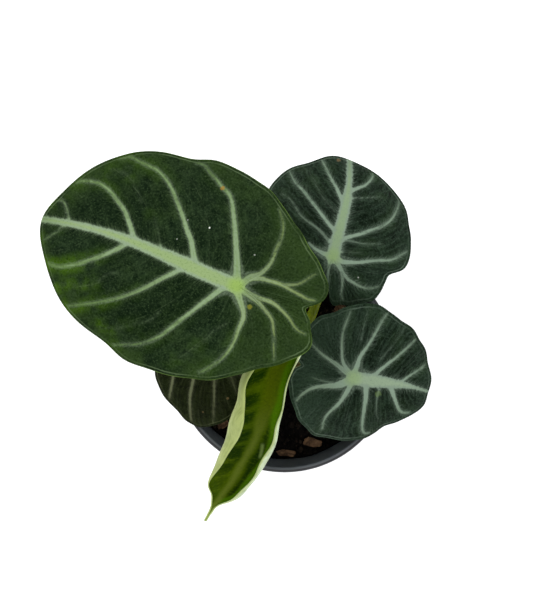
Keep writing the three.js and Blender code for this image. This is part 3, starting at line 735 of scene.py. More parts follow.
def fresh_green(paint, at, look, lamina):
    """Fresher green near the margin, beside the outer veins and on the rear lobes."""
    u, v = at.u, at.v
    border = at.edge.step(14.0, 1.0) * paint.noise(u * 0.07, v * 0.07, 9.0, detail=3).step(0.38, 0.64)
    lamina = paint.blend(border * look["rim_glow"], lamina, look["fresh"])
    clear = at.vein_gap.step(6.0, 0.3) * at.share.step(0.15, 0.65)
    halo = clear * paint.noise(u * 0.10, v * 0.10, 7.0, detail=3).step(0.36, 0.62)
    halo = halo * ((v * look["lean"]).step(-14, 12) * 0.5 + 0.5)
    halo = halo * (u.step(look["green_from"], look["green_from"] + 30.0) * 0.75 + 0.25)
    lamina = paint.blend(halo * look["glow"], lamina, look["halo"])
    return paint.blend(u.step(4.0, -22.0) * look["rear"], lamina, look["fresh"])


def darker_middle_and_midrib_shade(paint, at, look, lamina):
    """Darker ground far from the margin, and painted shade right beside the midrib."""
    hollow = at.edge.step(6.0, 26.0) * at.u.step(-2.0, 14.0) * at.patches.step(0.62, 0.44)
    lamina = paint.blend(hollow * look["hollow"], lamina, look["dark"])
    # Painted shade along both sides of the midrib
    shadow = at.mid_gap.step(5.0, 0.5) * at.u.step(2.0, 9.0)
    return paint.blend(shadow * 0.40, lamina, look["dark"])


def fine_marks(paint, at, look, lamina):
    """The finest veins as a net, faint veins halfway between the rows, grain and dots."""
    lamina = paint.blend(at.net.step(0.06, 0.005) * 0.16, lamina, look["light"])
    faint = at.minor.step(0.40, 0.05) * at.streak.step(0.40, 0.62) * at.edge.step(0.5, 5.0)
    lamina = paint.blend(faint * 0.10, lamina, look["vein"])
    lamina = paint.blend(at.grain.step(0.52, 0.66) * look["grit"], lamina, look["light"])
    lamina = paint.blend(at.grain.step(0.48, 0.34) * 0.80, lamina, look["dark"])
    dots = paint.noise(at.u * 2.0, at.v * 2.0, 41.0, detail=1).step(0.69, 0.77)
    return paint.blend(dots * 0.35, lamina, look["far"])


def hairs_and_down(paint, at, look, lamina):
    """Veinlets that leave the veins at a slant, as fine as hairs, and the pale down beside them."""
    slant = paint.noise((at.length - at.vein_from * 1.1) * 1.4, at.vein_from * 0.12, 6.0, detail=2)
    hairs = (slant - 0.5).size().step(0.06, 0.01) * at.vein_gap.step(2.8, 0.0) * at.fade
    bristle = paint.noise((at.u - at.mid_from * 0.7) * 1.5, at.mid_from * 0.10, at.v * 0.01, detail=2)
    bristles = (bristle - 0.5).size().step(0.07, 0.01) * at.mid_gap.step(3.5, 0.0)
    lamina = paint.blend(hairs.larger(bristles) * look["hairs"], lamina, look["vein"])
    down = (at.gap + at.joint.step(12.0, 5.0) * -1.2).step(1.1, -0.1) * at.fade
    down = down * (at.grain.step(0.35, 0.65) * 0.6 + 0.3)
    return paint.blend(down * look["down"], lamina, look["frost"])


# %% Veins, margin and blemishes
def vein_colours(paint, at, look):
    """Greener and brighter along the midrib's middle, and yellower at the joint."""
    stripes = paint.noise(at.u * 0.25, at.mid_from * 1.4, at.v * 0.02, detail=4, roughness=0.6)
    core = (at.mid_side + stripes * 1.2).step(0.4, -1.2)
    middle = paint.blend(core, look["frost"], look["core"])
    middle = paint.blend(at.mid_share.step(0.75, 1.0) * 0.3, middle, look["far"])
    side = paint.blend(at.share.step(0.10, 0.95), look["vein"], look["far"])
    side = paint.blend(at.u.step(4.0, -18.0) * look["rear_vein"], side, look["old_vein"])
    # Painted highlight along both edges of the sunken vein, just inside the pale band
    rail_highlight = (at.vein_side + 0.55).size().step(0.45, 0.05)
    side = paint.blend(rail_highlight * look["rails"], side, look["frost"])
    light = paint.blend(at.mid_side.step(0.5, -0.5).larger(at.near * 0.6), side, middle)
    light = paint.blend(at.joint.step(6.0, 1.5) * look["joint_share"], light, look["joint"])
    light = paint.blend((at.fray + 0.5).step(0.55, 0.8) * 0.25, light, look["far"])
    return paint.blend(at.grain.step(0.50, 0.32) * 0.55, light, look["far"])


def margin_and_spots(paint, at, look, colour, spots):
    """A thin light line inside the margin, the margin's own edge, and the blemishes."""
    where = paint.noise(at.u * 0.05, at.v * 0.05, 13.0).step(0.40, 0.60)
    line = (at.edge - 1.9 + at.streak * 0.9).size().step(0.40, 0.08) * (0.08 + where * 0.22)
    colour = paint.blend(line, colour, look["vein"])
    colour = paint.blend(at.edge.step(0.45, 0.10) * (0.15 + where * 0.6), colour, look["margin"])
    ragged = paint.noise(at.u * 1.1, at.v * 1.1, 3.0, detail=2) - 0.5
    for spot_u, spot_v, radius, strength, spot_colour in spots:
        offset_u = at.u - spot_u + ragged * radius
        offset_v = at.v - spot_v - ragged * radius
        away = (offset_u * offset_u + offset_v * offset_v) / (radius * radius)
        colour = paint.blend(away.step(1.0, 0.3) * strength, colour, spot_colour)
    return colour


# %% Velvet and underside
def velvet(name, look, spots=()):
    paint = Paint(name)
    at = BladePlaces(paint)
    pale_bands(paint, at, look)
    lamina = dark_velvet(paint, at, look)
    for layer in (fresh_green, darker_middle_and_midrib_shade, fine_marks, hairs_and_down):
        lamina = layer(paint, at, look, lamina)
    colour = paint.blend(at.band, lamina, vein_colours(paint, at, look))
    colour = margin_and_spots(paint, at, look, colour, spots)
    relief = at.streak * 0.14 + at.ridge * at.worn * look["wrinkle"] * 0.60 + at.net.step(0.0, 0.25) * 0.08
    relief = (relief + at.grain * 0.05) * (1.0 - at.band * 0.7)
    return paint.finish(colour, 0.62 - at.band * 0.08, relief, Specular_IOR_Level=0.03)


def underside(name, face, flush, vein_colour):
    """Lower face: paler, smooth, with a wash of purple and raised veins."""
    paint = Paint(name)
    mid_gap, vein_gap, _ = paint.attribute("ribs")
    across, along, _ = paint.attribute("flow")
    u, v, _ = paint.attribute("plane")
    wash = paint.noise(u * 0.05, v * 0.05, 3.0, detail=3).step(0.35, 0.7)
    colour = paint.blend(wash, face, flush)
    net = paint.cells(across * 0.4, along * 0.2, 6.0)
    colour = paint.blend(net.step(0.08, 0.01) * 0.35, colour, vein_colour)
    ribs = vein_gap.smaller(mid_gap).step(0.3, -0.5)
    colour = paint.blend(ribs * 0.8, colour, vein_colour)
    return paint.finish(colour, 0.45, net.step(0.0, 0.3) * 0.08, Specular_IOR_Level=0.4)


# %% [markdown]
# ## Dressing the four open leaves
#
# The high leaf is the warmest green. The back and side leaves are cooler and more silver, and the low
# one is old, brownish and dull, with thin veins. Small blemishes sit where the real leaf has them.

# %% Leaf looks
# The colours are linear. The shares say how much of a thing there is: glow, lean and green_from give
# the fresh green beside the veins, rim_glow and rear that of the margin and the rear lobes. wrinkle,
# ridges, grit and hollow roughen the ground, and wrinkle also sets the painted shade in the furrows and
# the painted highlight on the crests. hairs and down mark the veins, and rails set the painted
# highlight along the edges of the sunken veins. merge, soft and comb shape the edges of the pale bands.
LOOKS = {
    "high": {
        "deep": (0.0050, 0.0138, 0.0036), "cool": (0.0084, 0.0195, 0.0068), "light": (0.036, 0.062, 0.024),
        "dark": (0.0010, 0.0062, 0.0012), "fresh": (0.022, 0.044, 0.009), "halo": (0.034, 0.080, 0.001),
        "vein": (0.190, 0.275, 0.130), "far": (0.100, 0.170, 0.045), "core": (0.240, 0.332, 0.142),
        "frost": (0.230, 0.305, 0.200), "joint": (0.240, 0.370, 0.070), "margin": (0.130, 0.220, 0.045),
        "glow": 1.0, "lean": 1, "rim_glow": 0.85, "rear": 0.55, "fresh_share": 0.45, "wrinkle": 0.30,
        "hairs": 0.16, "down": 0.38, "rails": 0.5, "joint_share": 0.75, "ridges": 6, "merge": 1.4,
        "soft": 0.34, "grit": 0.65, "green_from": 32, "comb": 1.5, "hollow": 0.50,
        "old_vein": (0.230, 0.290, 0.085), "rear_vein": 0.7,
    },
    "cool": {
        "deep": (0.0046, 0.0112, 0.0046), "cool": (0.0084, 0.0176, 0.0092), "light": (0.044, 0.071, 0.047),
        "dark": (0.0008, 0.0040, 0.0010), "fresh": (0.020, 0.038, 0.021), "halo": (0.022, 0.048, 0.013),
        "vein": (0.205, 0.280, 0.205), "far": (0.150, 0.212, 0.145), "core": (0.215, 0.298, 0.168),
        "frost": (0.200, 0.265, 0.195), "joint": (0.230, 0.350, 0.100), "margin": (0.060, 0.105, 0.062),
        "glow": 0.40, "lean": 0, "rim_glow": 0.40, "rear": 0.55, "fresh_share": 0.25, "wrinkle": 0.72,
        "hairs": 0.28, "down": 0.34, "rails": 0.4, "joint_share": 0.40, "ridges": 6, "merge": 1.3,
        "soft": 0.30, "grit": 0.40, "green_from": -200, "comb": 2.2, "hollow": 0.25,
        "old_vein": (0.180, 0.240, 0.150), "rear_vein": 0.3,
    },
    "old": {
        "deep": (0.0085, 0.0125, 0.0024), "cool": (0.0120, 0.0160, 0.0045), "light": (0.026, 0.032, 0.012),
        "dark": (0.0022, 0.0042, 0.0004), "fresh": (0.012, 0.020, 0.003), "halo": (0.012, 0.020, 0.004),
        "vein": (0.150, 0.170, 0.085), "far": (0.100, 0.110, 0.055), "core": (0.180, 0.195, 0.110),
        "frost": (0.150, 0.160, 0.100), "joint": (0.110, 0.140, 0.050), "margin": (0.030, 0.038, 0.018),
        "glow": 0.3, "lean": 0, "rim_glow": 0.3, "rear": 0.2, "fresh_share": 0.4, "wrinkle": 0.45,
        "hairs": 0.10, "down": 0.3, "rails": 0.2, "joint_share": 0.5, "ridges": 5, "merge": 1.2,
        "soft": 0.40, "grit": 0.60, "green_from": -200, "comb": 1.2, "hollow": 0.0,
        "old_vein": (0.150, 0.170, 0.085), "rear_vein": 0.0,
    },
}
LOOKS["side"] = dict(LOOKS["cool"], rear=0.80, fresh=(0.024, 0.044, 0.026), core=(0.245, 0.325, 0.215))
RUST = (0.30, 0.16, 0.02)
CHALK = (0.75, 0.78, 0.70)
HUSK = (0.16, 0.11, 0.05)
OCHRE = (0.20, 0.20, 0.02)
UNDER_GREEN = (0.150, 0.200, 0.110)
UNDER_FLUSH = (0.140, 0.110, 0.085)
UNDER_VEIN = (0.300, 0.360, 0.200)

# Each blemish: place in the picture, radius in millimetres, strength and colour
SPOTS = {
    "high": [
        ((222.5, 188), 1.1, 0.7, RUST), ((210, 228), 0.45, 0.9, CHALK), ((255, 255), 0.45, 0.3, CHALK),
        ((250, 307), 1.2, 0.6, OCHRE), ((188, 220), 0.4, 0.25, CHALK), ((177, 239), 0.4, 0.25, CHALK),
    ],
    "back": [((338, 162), 1.2, 0.6, HUSK), ((358, 278), 0.4, 0.5, CHALK)],
    "side": [((378, 394), 1.8, 0.25, LOOKS["cool"]["joint"])],
    "low": [((228, 398), 0.8, 0.6, HUSK), ((203, 412), 0.6, 0.4, HUSK)],
}


def spots_of(place):
    """The blemishes of a leaf with their places in its own plane."""
    found = []
    for pixel, *rest in SPOTS[place]:
        found.append((*seen_at(LEAVES[place], pixel), *rest))
    return found


LEAF_LOOKS = {"high": "high", "back": "cool", "side": "side", "low": "old"}
faces = {}
for place, look in LEAF_LOOKS.items():
    faces[place] = velvet("velvet_" + place, LOOKS[look], spots_of(place))
lower_face = underside("leaf_underside", UNDER_GREEN, UNDER_FLUSH, UNDER_VEIN)

# %% Four open blades
for place, leaf in LEAVES.items():
    piece = blade(place, leaf)
    finish_piece(piece, [faces[place], lower_face], ["leaf_" + place + "_blade"])

# %% [markdown]
# ## The rolled young leaf
#
# A new leaf comes up rolled and opens from the middle. This one is a deep trough whose margins still
# curl over, so their pale outer face shows from above. It is lofted through stations along the midrib,
# each with a radius and a curl for both sides, and ends in a thin drip tip.

# %% Stations of the young leaf
YOUNG = [
    ((4.5, 17, 149), (6, 4.5), (95, 95)),
    ((1.8, 10, 150), (12, 6), (130, 120)),
    ((-4.3, -2.8, 145), (13.6, 5.8), (128, 95)),
    ((-6.9, -14.6, 139), (13.8, 5.9), (126, 97)),
    ((-10.4, -24, 132), (13.5, 7.3), (146, 110)),
    ((-13.6, -33.9, 122.5), (12.8, 8.8), (137, 122)),
    ((-18.8, -44, 113), (11.6, 9.9), (129, 128)),
    ((-24.1, -54.5, 103), (10.4, 8.6), (95, 118)),
    ((-29.4, -62.5, 95.5), (4.6, 7.7), (92, 130)),
    ((-32.9, -68, 90.5), (1.4, 1.2), (110, 110)),
    ((-35.5, -72.5, 87), (0.5, 0.3), (85, 85)),
    ((-37.9, -76.6, 84), (0.2, 0.2), (80, 80)),
]
YOUNG_ROWS = 132
YOUNG_COLUMNS = 64
YOUNG_RISE = 0.6
YOUNG_THICKNESS = 0.9
YOUNG_RIB = 0.8
YOUNG_RIB_WIDTH = 1.4
YOUNG_SAMPLES = 400
RUFFLE = 0.05
RUFFLE_TURNS = 3.8
VEIN_SPACING = 12.0
VEIN_LEAN = 0.45
VEIN_OFFSET = 3.0


# %% Young blade
def young_blade():
    clear_selection()
    bpy.ops.mesh.primitive_grid_add(x_subdivisions=YOUNG_ROWS, y_subdivisions=YOUNG_COLUMNS, size=1)
    piece = bpy.context.object
    piece.name = "blade_young"
    square = points_of(piece) + 0.5
    course = square[:, 0] * (len(YOUNG) - 1)
    stations = [mid + radii + curls for mid, radii, curls in YOUNG]
    x, y, z, left, right, curl_left, curl_right = smooth_between(stations, course).T
    share = 2 * square[:, 1] - 1
    curl = np.radians(np.where(share < 0, curl_left, curl_right))
    angle = curl * share
    ruffle = 1 + RUFFLE * share ** 4 * np.sin(RUFFLE_TURNS * course + share)
    radius = np.where(share < 0, left, right) * ruffle
    points = np.stack([x + radius * np.sin(angle), y, z + YOUNG_RISE * radius * (1 - np.cos(angle))], 1)
    place_points(piece, points)

    # Distances along and across the leaf, for its veins
    middle = smooth_between(stations, np.linspace(0, len(YOUNG) - 1, YOUNG_SAMPLES))[:, :3]
    lengths = np.concatenate([[0], np.cumsum(np.linalg.norm(np.diff(middle, axis=0), axis=1))])
    along = np.interp(square[:, 0], np.linspace(0, 1, YOUNG_SAMPLES), lengths)
    out = np.abs(angle) * radius * (1 + YOUNG_RISE) / 2
    widest = curl * radius * (1 + YOUNG_RISE) / 2
    to_fold = (0.5 * np.pi - np.abs(angle)) * radius * (1 + YOUNG_RISE) / 2
    rank = (along - VEIN_LEAN * out + np.where(share < 0, VEIN_OFFSET, 0.0)) / VEIN_SPACING
    side_vein = np.abs(rank - np.floor(rank) - 0.5) * VEIN_SPACING
    store(piece, "ribs", out, side_vein, share)
    store(piece, "fine", to_fold, np.degrees(angle), radius)
    store(piece, "flow", rank * VEIN_SPACING, out, np.maximum(0, widest - out))
    store(piece, "plane", x, along, out * np.sign(share))
    rib = YOUNG_RIB * np.exp(-(out / YOUNG_RIB_WIDTH) ** 2) * np.clip(radius / 6, 0, 1)
    full = MARGIN_THINNING * np.clip((widest - out) / 2, 0, 1) * np.clip(radius / 4, 0, 1)
    sheet = YOUNG_THICKNESS * (1 - MARGIN_THINNING + full)
    weigh(piece, (sheet + rib) / (YOUNG_THICKNESS + YOUNG_RIB))
    centre = np.abs(share) < 0.1
    upwards = sum(vertex.normal.z for vertex in piece.data.vertices if centre[vertex.index])
    if upwards < 0:
        edit_all(piece, (bpy.ops.mesh.flip_normals, {}))
    piece.data.materials.append(None)
    piece.data.materials.append(None)
    thicken(piece, YOUNG_THICKNESS + YOUNG_RIB)
    piece.data.transform(Matrix.Scale(MM, 4))
    return piece


# %% [markdown]
# ## Tender leaf material
#
# The young leaf hasn't its velvet yet. Its inner face is bright green, with dark blotches that fill the
# spaces between the veins, and its outer face is pale yellow-green, almost white on one roll.

# %% Tender blade
INNER = {
    "olive": (0.037, 0.068, 0.0002), "warm": (0.052, 0.086, 0.0003), "fresh": (0.062, 0.155, 0.0012),
    "dark": (0.0045, 0.0190, 0.0002), "rib": (0.056, 0.080, 0.0010), "low_rib": (0.112, 0.150, 0.0160),
    "line": (0.110, 0.160, 0.012), "fold": (0.190, 0.270, 0.070), "streak": (0.070, 0.120, 0.002),
    "grain": (0.110, 0.160, 0.003), "rim": (0.250, 0.340, 0.080),
}
OUTER = {
    "yellow": (0.345, 0.400, 0.135), "white": (0.560, 0.660, 0.440), "green": (0.170, 0.215, 0.060),
    "cream": (0.440, 0.520, 0.230), "rib": (0.300, 0.380, 0.100), "rim": (0.420, 0.500, 0.160),
}


def tender_inside():
    paint = Paint("tender_inside")
    out, side_vein, share = paint.attribute("ribs")
    rank, _, edge = paint.attribute("flow")
    _, along, signed = paint.attribute("plane")
    to_fold, _, _ = paint.attribute("fine")
    cloud = paint.noise(along * 0.11, signed * 0.16, 1.0, detail=4, roughness=0.6)
    patch = paint.noise(along * 0.05, signed * 0.06, 12.0, detail=2)
    streak = paint.noise(rank * 0.9, out * 0.12, 4.0, detail=4)
    grain = paint.noise(along * 0.9, signed * 0.9, 6.0, detail=3, roughness=0.65)
    low = along.step(34.0, 66.0)
    left = share.step(0.05, -0.05)
    right = share.step(-0.02, 0.02)
    olive = paint.blend(patch.step(0.35, 0.65), INNER["olive"], INNER["warm"])
    colour = paint.blend(to_fold.step(7.4, 4.8) * (right * 0.9 + 0.1), olive, INNER["fresh"])

    # Dark blotches between the side veins on the left, and one long one below on the right
    clear = (out + (cloud - 0.5) * 3.0).step(2.2 - low * 0.8, 4.6 - low * 0.8)
    blots = (side_vein * 0.09 + cloud + low * 0.10).step(0.56, 0.90)
    blots = blots * left * clear * (1.0 - along.step(78.0, 92.0) * 0.6)
    strip = clear * along.step(40.0, 56.0) * right * (to_fold + (cloud - 0.5) * 1.5).step(4.8, 7.2)
    colour = paint.blend(blots.larger(strip) * 0.93, colour, INNER["dark"])

    # Broad soft midrib, thin side veins and a pale streak where the fold begins
    rib_colour = paint.blend(low, INNER["rib"], INNER["low_rib"])
    half = 2.6 - low * 1.5
    rib = (out - half + (cloud - 0.5) * 1.4).step(1.3, -1.0)
    colour = paint.blend(rib * 0.85, colour, rib_colour)
    lines = (side_vein + (streak - 0.5) * 1.2).step(0.8, 0.1) * (out - half).step(0.0, 2.0)
    colour = paint.blend(lines * cloud.step(0.35, 0.7) * 0.35, colour, INNER["line"])
    away = (along - 70.5) / 6.5
    fold = (to_fold - 7.2 + (along - 70.5) * 0.12).size().step(1.3, 0.1) * (away * away).step(1.0, 0.2)
    colour = paint.blend(fold * right * 0.75, colour, INNER["fold"])
    colour = paint.blend(streak.step(0.45, 0.75) * 0.25, colour, INNER["streak"])
    colour = paint.blend(grain.step(0.52, 0.70) * 0.26, colour, INNER["grain"])
    colour = paint.blend(grain.step(0.48, 0.30) * 0.30, colour, INNER["dark"])
    colour = paint.blend(edge.step(0.8, 0.2) * 0.7, colour, INNER["rim"])
    return paint.finish(colour, 0.42, streak * 0.12, Specular_IOR_Level=0.005)


def tender_outside():
    paint = Paint("tender_outside")
    out, _, share = paint.attribute("ribs")
    _, _, edge = paint.attribute("flow")
    _, along, signed = paint.attribute("plane")
    cloud = paint.noise(along * 0.10, signed * 0.14, 8.0, detail=4, roughness=0.6)
    streak = paint.noise(along * 0.10, signed * 1.1, 2.0, detail=4, roughness=0.6)
    colour = paint.blend(share.step(-0.2, 0.2), OUTER["yellow"], OUTER["white"])
    colour = paint.blend(cloud.step(0.42, 0.72) * 0.55, colour, OUTER["green"])
    colour = paint.blend(cloud.step(0.45, 0.25) * 0.40, colour, OUTER["cream"])
    colour = paint.blend(streak.step(0.48, 0.66) * 0.55, colour, OUTER["green"])
    # Painted shadow of the high leaf: the top of the left roll goes darker green
    colour = paint.blend(along.step(40.0, 18.0) * share.step(0.0, -0.2) * 0.70, colour, OUTER["green"])
    colour = paint.blend(out.step(2.6, 0.8) * 0.6, colour, OUTER["rib"])
    colour = paint.blend(edge.step(1.2, 0.2) * 0.6, colour, OUTER["rim"])
    return paint.finish(colour, 0.45, streak * 0.10, Specular_IOR_Level=0.10)


finish_piece(young_blade(), [tender_inside(), tender_outside()], ["leaf_young_blade"])

# %% [markdown]
# ## Petioles
#
# The stalks are round, smooth and juicy, bent out from the crown. A curve with a bevel makes such a
# tube in one step: its points follow the CAD route, and each point's radius gives the taper. The curve
# is then turned into a mesh.

# %% Petiole routes
PETIOLES = {
    "high": [(0.5, 8.6, 79), (-1.5, 11.5, 105), (-6, 17.8, 130), (-12.6, 26, 155), (-19, 34, 176)],
    "back": [(8, 8.2, 79), (9.3, 13, 95), (12.2, 21.6, 105), (16.2, 33, 113.5)],
    "side": [(9, 1, 79), (12, 0, 98), (18, -2.3, 111), (24.5, -4.3, 119.5)],
    "low": [(-1.3, 1.7, 79), (-5, 1.3, 92), (-13, 0.3, 102), (-21, -0.8, 107)],
    "young": [(4, 4, 79), (3.9, 4.8, 100), (3.4, 7.4, 120), (2.6, 10, 134)],
}
FOOT_RADIUS = 2.7
TOP_RADIUS = 2.0
GAP = 0.3
YOUNG_JOINT = 1
YOUNG_JOINT_DEPTH = 2.6
LAST_STRAIGHT = 4
ROUTE_STEPS = 40


def joint_of(place):
    """Where a petiole ends, square to its blade and just below the rib."""
    if place == "young":
        before, at, after = [Vector(YOUNG[YOUNG_JOINT + k][0]) for k in (-1, 0, 1)]
        normal = Vector((1, 0, 0)).cross((after - before).normalized()).normalized()
        if normal.z < 0:
            normal.negate()
        return at, normal, YOUNG_JOINT_DEPTH
    matrix = blade_matrix(LEAVES[place])
    normal = (matrix.to_3x3() @ Vector((0, 0, 1))).normalized()
    return Vector(LEAVES[place]["joint"]), normal, BLADE_THICKNESS + MID_RIB + GAP


def between(first, second, start, stop, at):
    return first.lerp(second, (at - start) / (stop - start))


def route(place):
    """Centripetal Catmull-Rom curve, as in the CAD model."""
    point, normal, depth = joint_of(place)
    end = point - normal * depth
    points = [Vector(values) for values in PETIOLES[place]] + [end - normal * LAST_STRAIGHT, end]
    points = [points[0] * 2 - points[1]] + points + [points[-1] * 2 - points[-2]]
    knots = [0.0]
    for first, second in zip(points, points[1:]):
        knots.append(knots[-1] + math.sqrt((second - first).length))
    spans = len(points) - 3
    steps = ROUTE_STEPS // spans + 1
    line = []
    for i in range(1, spans + 1):
        a, b, c, d = points[i - 1:i + 3]
        ta, tb, tc, td = knots[i - 1:i + 3]
        for step in range(steps):
            t = tb + (tc - tb) * step / steps
            ab = between(a, b, ta, tb, t)
            bc = between(b, c, tb, tc, t)
            cd = between(c, d, tc, td, t)
            line.append(between(between(ab, bc, ta, tc, t), between(bc, cd, tb, td, t), tb, tc, t))
    line.append(end)
    return line


# %% Petiole tubes
def petiole(place):
    line = route(place)
    clear_selection()
    bpy.ops.curve.primitive_nurbs_path_add()
    tube = bpy.context.object
    tube.name = "stalk_" + place
    tube.data.splines.clear()
    spline = tube.data.splines.new("POLY")
    spline.points.add(len(line) - 1)
    lengths = [0.0]
    for first, second in zip(line, line[1:]):
        lengths.append(lengths[-1] + (second - first).length)
    for point, at, length in zip(spline.points, line, lengths):
        share = length / lengths[-1]
        point.co = (*(at * MM), 1.0)
        point.radius = TOP_RADIUS + (FOOT_RADIUS - TOP_RADIUS) * (1 - share) ** 1.5
    tube.data.bevel_depth = MM
    tube.data.bevel_resolution = 6
    tube.data.use_fill_caps = True
    bpy.ops.object.convert(target="MESH")
    return bpy.context.object


def stalk_material():
    paint = Paint("stalk")
    x, y, z = paint.object_axes()
    mottle = paint.noise(x * 260, y * 260, z * 90, detail=4, roughness=0.6)
    fibre = paint.noise(x * 900, y * 900, z * 60, detail=3)
    low = z.step(0.098, 0.080)
    colour = paint.blend(mottle.step(0.35, 0.7), (0.215, 0.270, 0.004), (0.125, 0.175, 0.003))
    colour = paint.blend(fibre.step(0.5, 0.8) * 0.3, colour, (0.300, 0.350, 0.040))
    colour = paint.blend(low * 0.75, colour, (0.150, 0.120, 0.030))
    return paint.finish(colour, 0.40, fibre * 0.05, Specular_IOR_Level=0.20)


stalk = stalk_material()
for place in PETIOLES:
    finish_piece(petiole(place), [stalk], ["leaf_" + place + "_petiole"])

# %% [markdown]
# ## The pot
#
# Nursery pots are thin injection-moulded plastic: a tapered wall, a rolled lip with a short skirt, a
# foot ring and holes for drainage. The wall is a profile spun about the axis. The holes are cut with
# one set of cylinders, as the CAD model cuts them.

# %% Pot measures
POT_HEIGHT = 92.0
LIP_RADIUS = 52.5
WALL = 1.5
FLOOR_UNDER = 3.0
FLOOR_TOP = 4.6
INNER_FOOT = 36.8
INNER_TOP = 50.0
FOOT_INNER = 34.4
BOSS_RADIUS = 8.0
LIP_DEPTH = 8.5
DRAIN_RADIUS = 3.6
DRAIN_RING = 24.0
DRAIN_COUNT = 8


def inner_radius(z):
    return INNER_FOOT + (INNER_TOP - INNER_FOOT) * (z - FLOOR_TOP) / (POT_HEIGHT - FLOOR_TOP)


def spun(name, profile, steps):
    """Solid of revolution from a profile in millimetres that starts and ends on the axis."""
    mesh = bpy.data.meshes.new(name)
    edges = [(i, i + 1) for i in range(len(profile) - 1)]
    mesh.from_pydata([(r * MM, 0, z * MM) for r, z in profile], edges, [])
    piece = bpy.data.objects.new(name, mesh)
    bpy.context.scene.collection.objects.link(piece)
    edit_all(
        piece,
        (bpy.ops.mesh.spin, {"steps": steps, "angle": 2 * math.pi, "center": (0, 0, 0), "axis": (0, 0, 1)}),
        (bpy.ops.mesh.select_all, {"action": "SELECT"}),
        (bpy.ops.mesh.remove_doubles, {"threshold": 1e-6}),
        (bpy.ops.mesh.normals_make_consistent, {"inside": False}),
    )
    return piece


def arc(centre, radius, start, stop, steps=5):
    """Points of an arc in the profile, angles in degrees."""
    angles = [math.radians(start + (stop - start) * i / steps) for i in range(steps + 1)]
    return [(centre[0] + radius * math.cos(a), centre[1] + radius * math.sin(a)) for a in angles]


# %% Pot wall, lip and floor
skirt = POT_HEIGHT - LIP_DEPTH
pot_profile = [(0, 0), (BOSS_RADIUS - 0.4, 0), (BOSS_RADIUS, 0.3), (BOSS_RADIUS + 1.2, FLOOR_UNDER)]
pot_profile += [(FOOT_INNER - 1, FLOOR_UNDER), (FOOT_INNER - 0.2, 0.3), (FOOT_INNER + 0.1, 0)]
pot_profile += arc((inner_radius(0.8) + WALL - 0.8, 0.8), 0.8, -90, -5)
pot_profile += [(inner_radius(z) + WALL, z) for z in (8, 9.2)]
pot_profile += [(inner_radius(z) + WALL + 0.25, z) for z in (9.6, 10.6)]
pot_profile += [(inner_radius(z) + WALL, z) for z in (11, 30, 50, 70, skirt - 0.3, skirt)]
pot_profile += [(LIP_RADIUS - 0.5, skirt)] + arc((LIP_RADIUS - 0.35, skirt + 0.35), 0.35, -90, 0, 3)
pot_profile += [(LIP_RADIUS, skirt + 2), (LIP_RADIUS, skirt + 4.5)]
pot_profile += arc((LIP_RADIUS - 1.4, POT_HEIGHT - 1.4), 1.4, 0, 90, 8)
pot_profile += arc((INNER_TOP + 0.5, POT_HEIGHT - 0.6), 0.6, 90, 180, 5)
pot_profile += [(inner_radius(z), z) for z in (89, 84, 76, 60, 40, 20)]
pot_profile += [(inner_radius(FLOOR_TOP + 1), FLOOR_TOP + 1), (inner_radius(FLOOR_TOP) - 1, FLOOR_TOP)]
pot_profile += [(0, FLOOR_TOP)]
pot = spun("nursery_pot", pot_profile, 128)

# %% Drain holes
clear_selection()
for number in range(DRAIN_COUNT):
    angle = 2 * math.pi * (number + 0.5) / DRAIN_COUNT
    at = (DRAIN_RING * math.cos(angle) * MM, DRAIN_RING * math.sin(angle) * MM, FLOOR_TOP / 2 * MM)
    bpy.ops.mesh.primitive_cylinder_add(vertices=32, radius=DRAIN_RADIUS * MM, depth=10 * MM, location=at)
    drill = bpy.context.object
    only(pot)
    cut = pot.modifiers.new("drain", "BOOLEAN")
    cut.operation = "DIFFERENCE"
    cut.solver = "EXACT"
    cut.object = drill
    bpy.ops.object.modifier_apply(modifier=cut.name)
    bpy.data.objects.remove(drill)
print("pot with", DRAIN_COUNT, "drain holes")

# %% [markdown]
# ## Pot plastic
#
# Black polypropylene is never quite black: it has a soft sheen, faint rings from the mould, fine
# scuffs and a film of dust. The inner wall above the soil line is a lighter blue-grey, and the crest
# of the lip carries a painted highlight.

# %% Pot material
def plastic():
    paint = Paint("pot_plastic")
    x, y, z = paint.object_axes()
    radius = (x * x + y * y).maths("SQRT") * 1000
    up = z * 1000
    rings = paint.noise(radius * 0.0, up * 1.4, 0.0, detail=3)
    scuff = paint.noise(x * 700, y * 700, z * 120, detail=4, roughness=0.7)
    dust = paint.noise(x * 60, y * 60, z * 60, detail=4)
    colour = paint.blend(dust.step(0.4, 0.75), (0.017, 0.018, 0.020), (0.028, 0.030, 0.033))
    # Painted highlight along the crest of the lip
    crest_highlight = (radius - (LIP_RADIUS - 1.6)).size().step(0.45, 0.10)
    crest_highlight = crest_highlight * up.step(POT_HEIGHT - 1.0, POT_HEIGHT - 0.3)
    colour = paint.blend(crest_highlight * (0.35 + dust * 0.5), colour, (0.120, 0.125, 0.130))
    # Lighter blue-grey on the inner wall above the soil line
    inside = (radius - up * 0.151).step(37.2, 36.6) * up.step(70, 78)
    colour = paint.blend(inside * (0.65 + dust * 0.4), colour, (0.075, 0.086, 0.095))
    colour = paint.blend(scuff.step(0.62, 0.8) * 0.5, colour, (0.070, 0.072, 0.075))
    relief = rings * 0.04 + scuff * 0.02
    return paint.finish(colour, 0.38 + dust * 0.25, relief, Specular_IOR_Level=0.35)


finish_piece(pot, [plastic()], ["pot"])
only(pot)
bpy.ops.object.shade_smooth_by_angle(angle=math.radians(35))

# %% [markdown]
# ## Soil, bark and crumbs
#
# The mix is dark peat with bark. Its body is spun like the pot, then its top is roughened by moving
# the vertices with noise. Loose crumbs are one small stone copied many times into a single mesh, and
# the bark chips are subdivided boxes with broken faces.

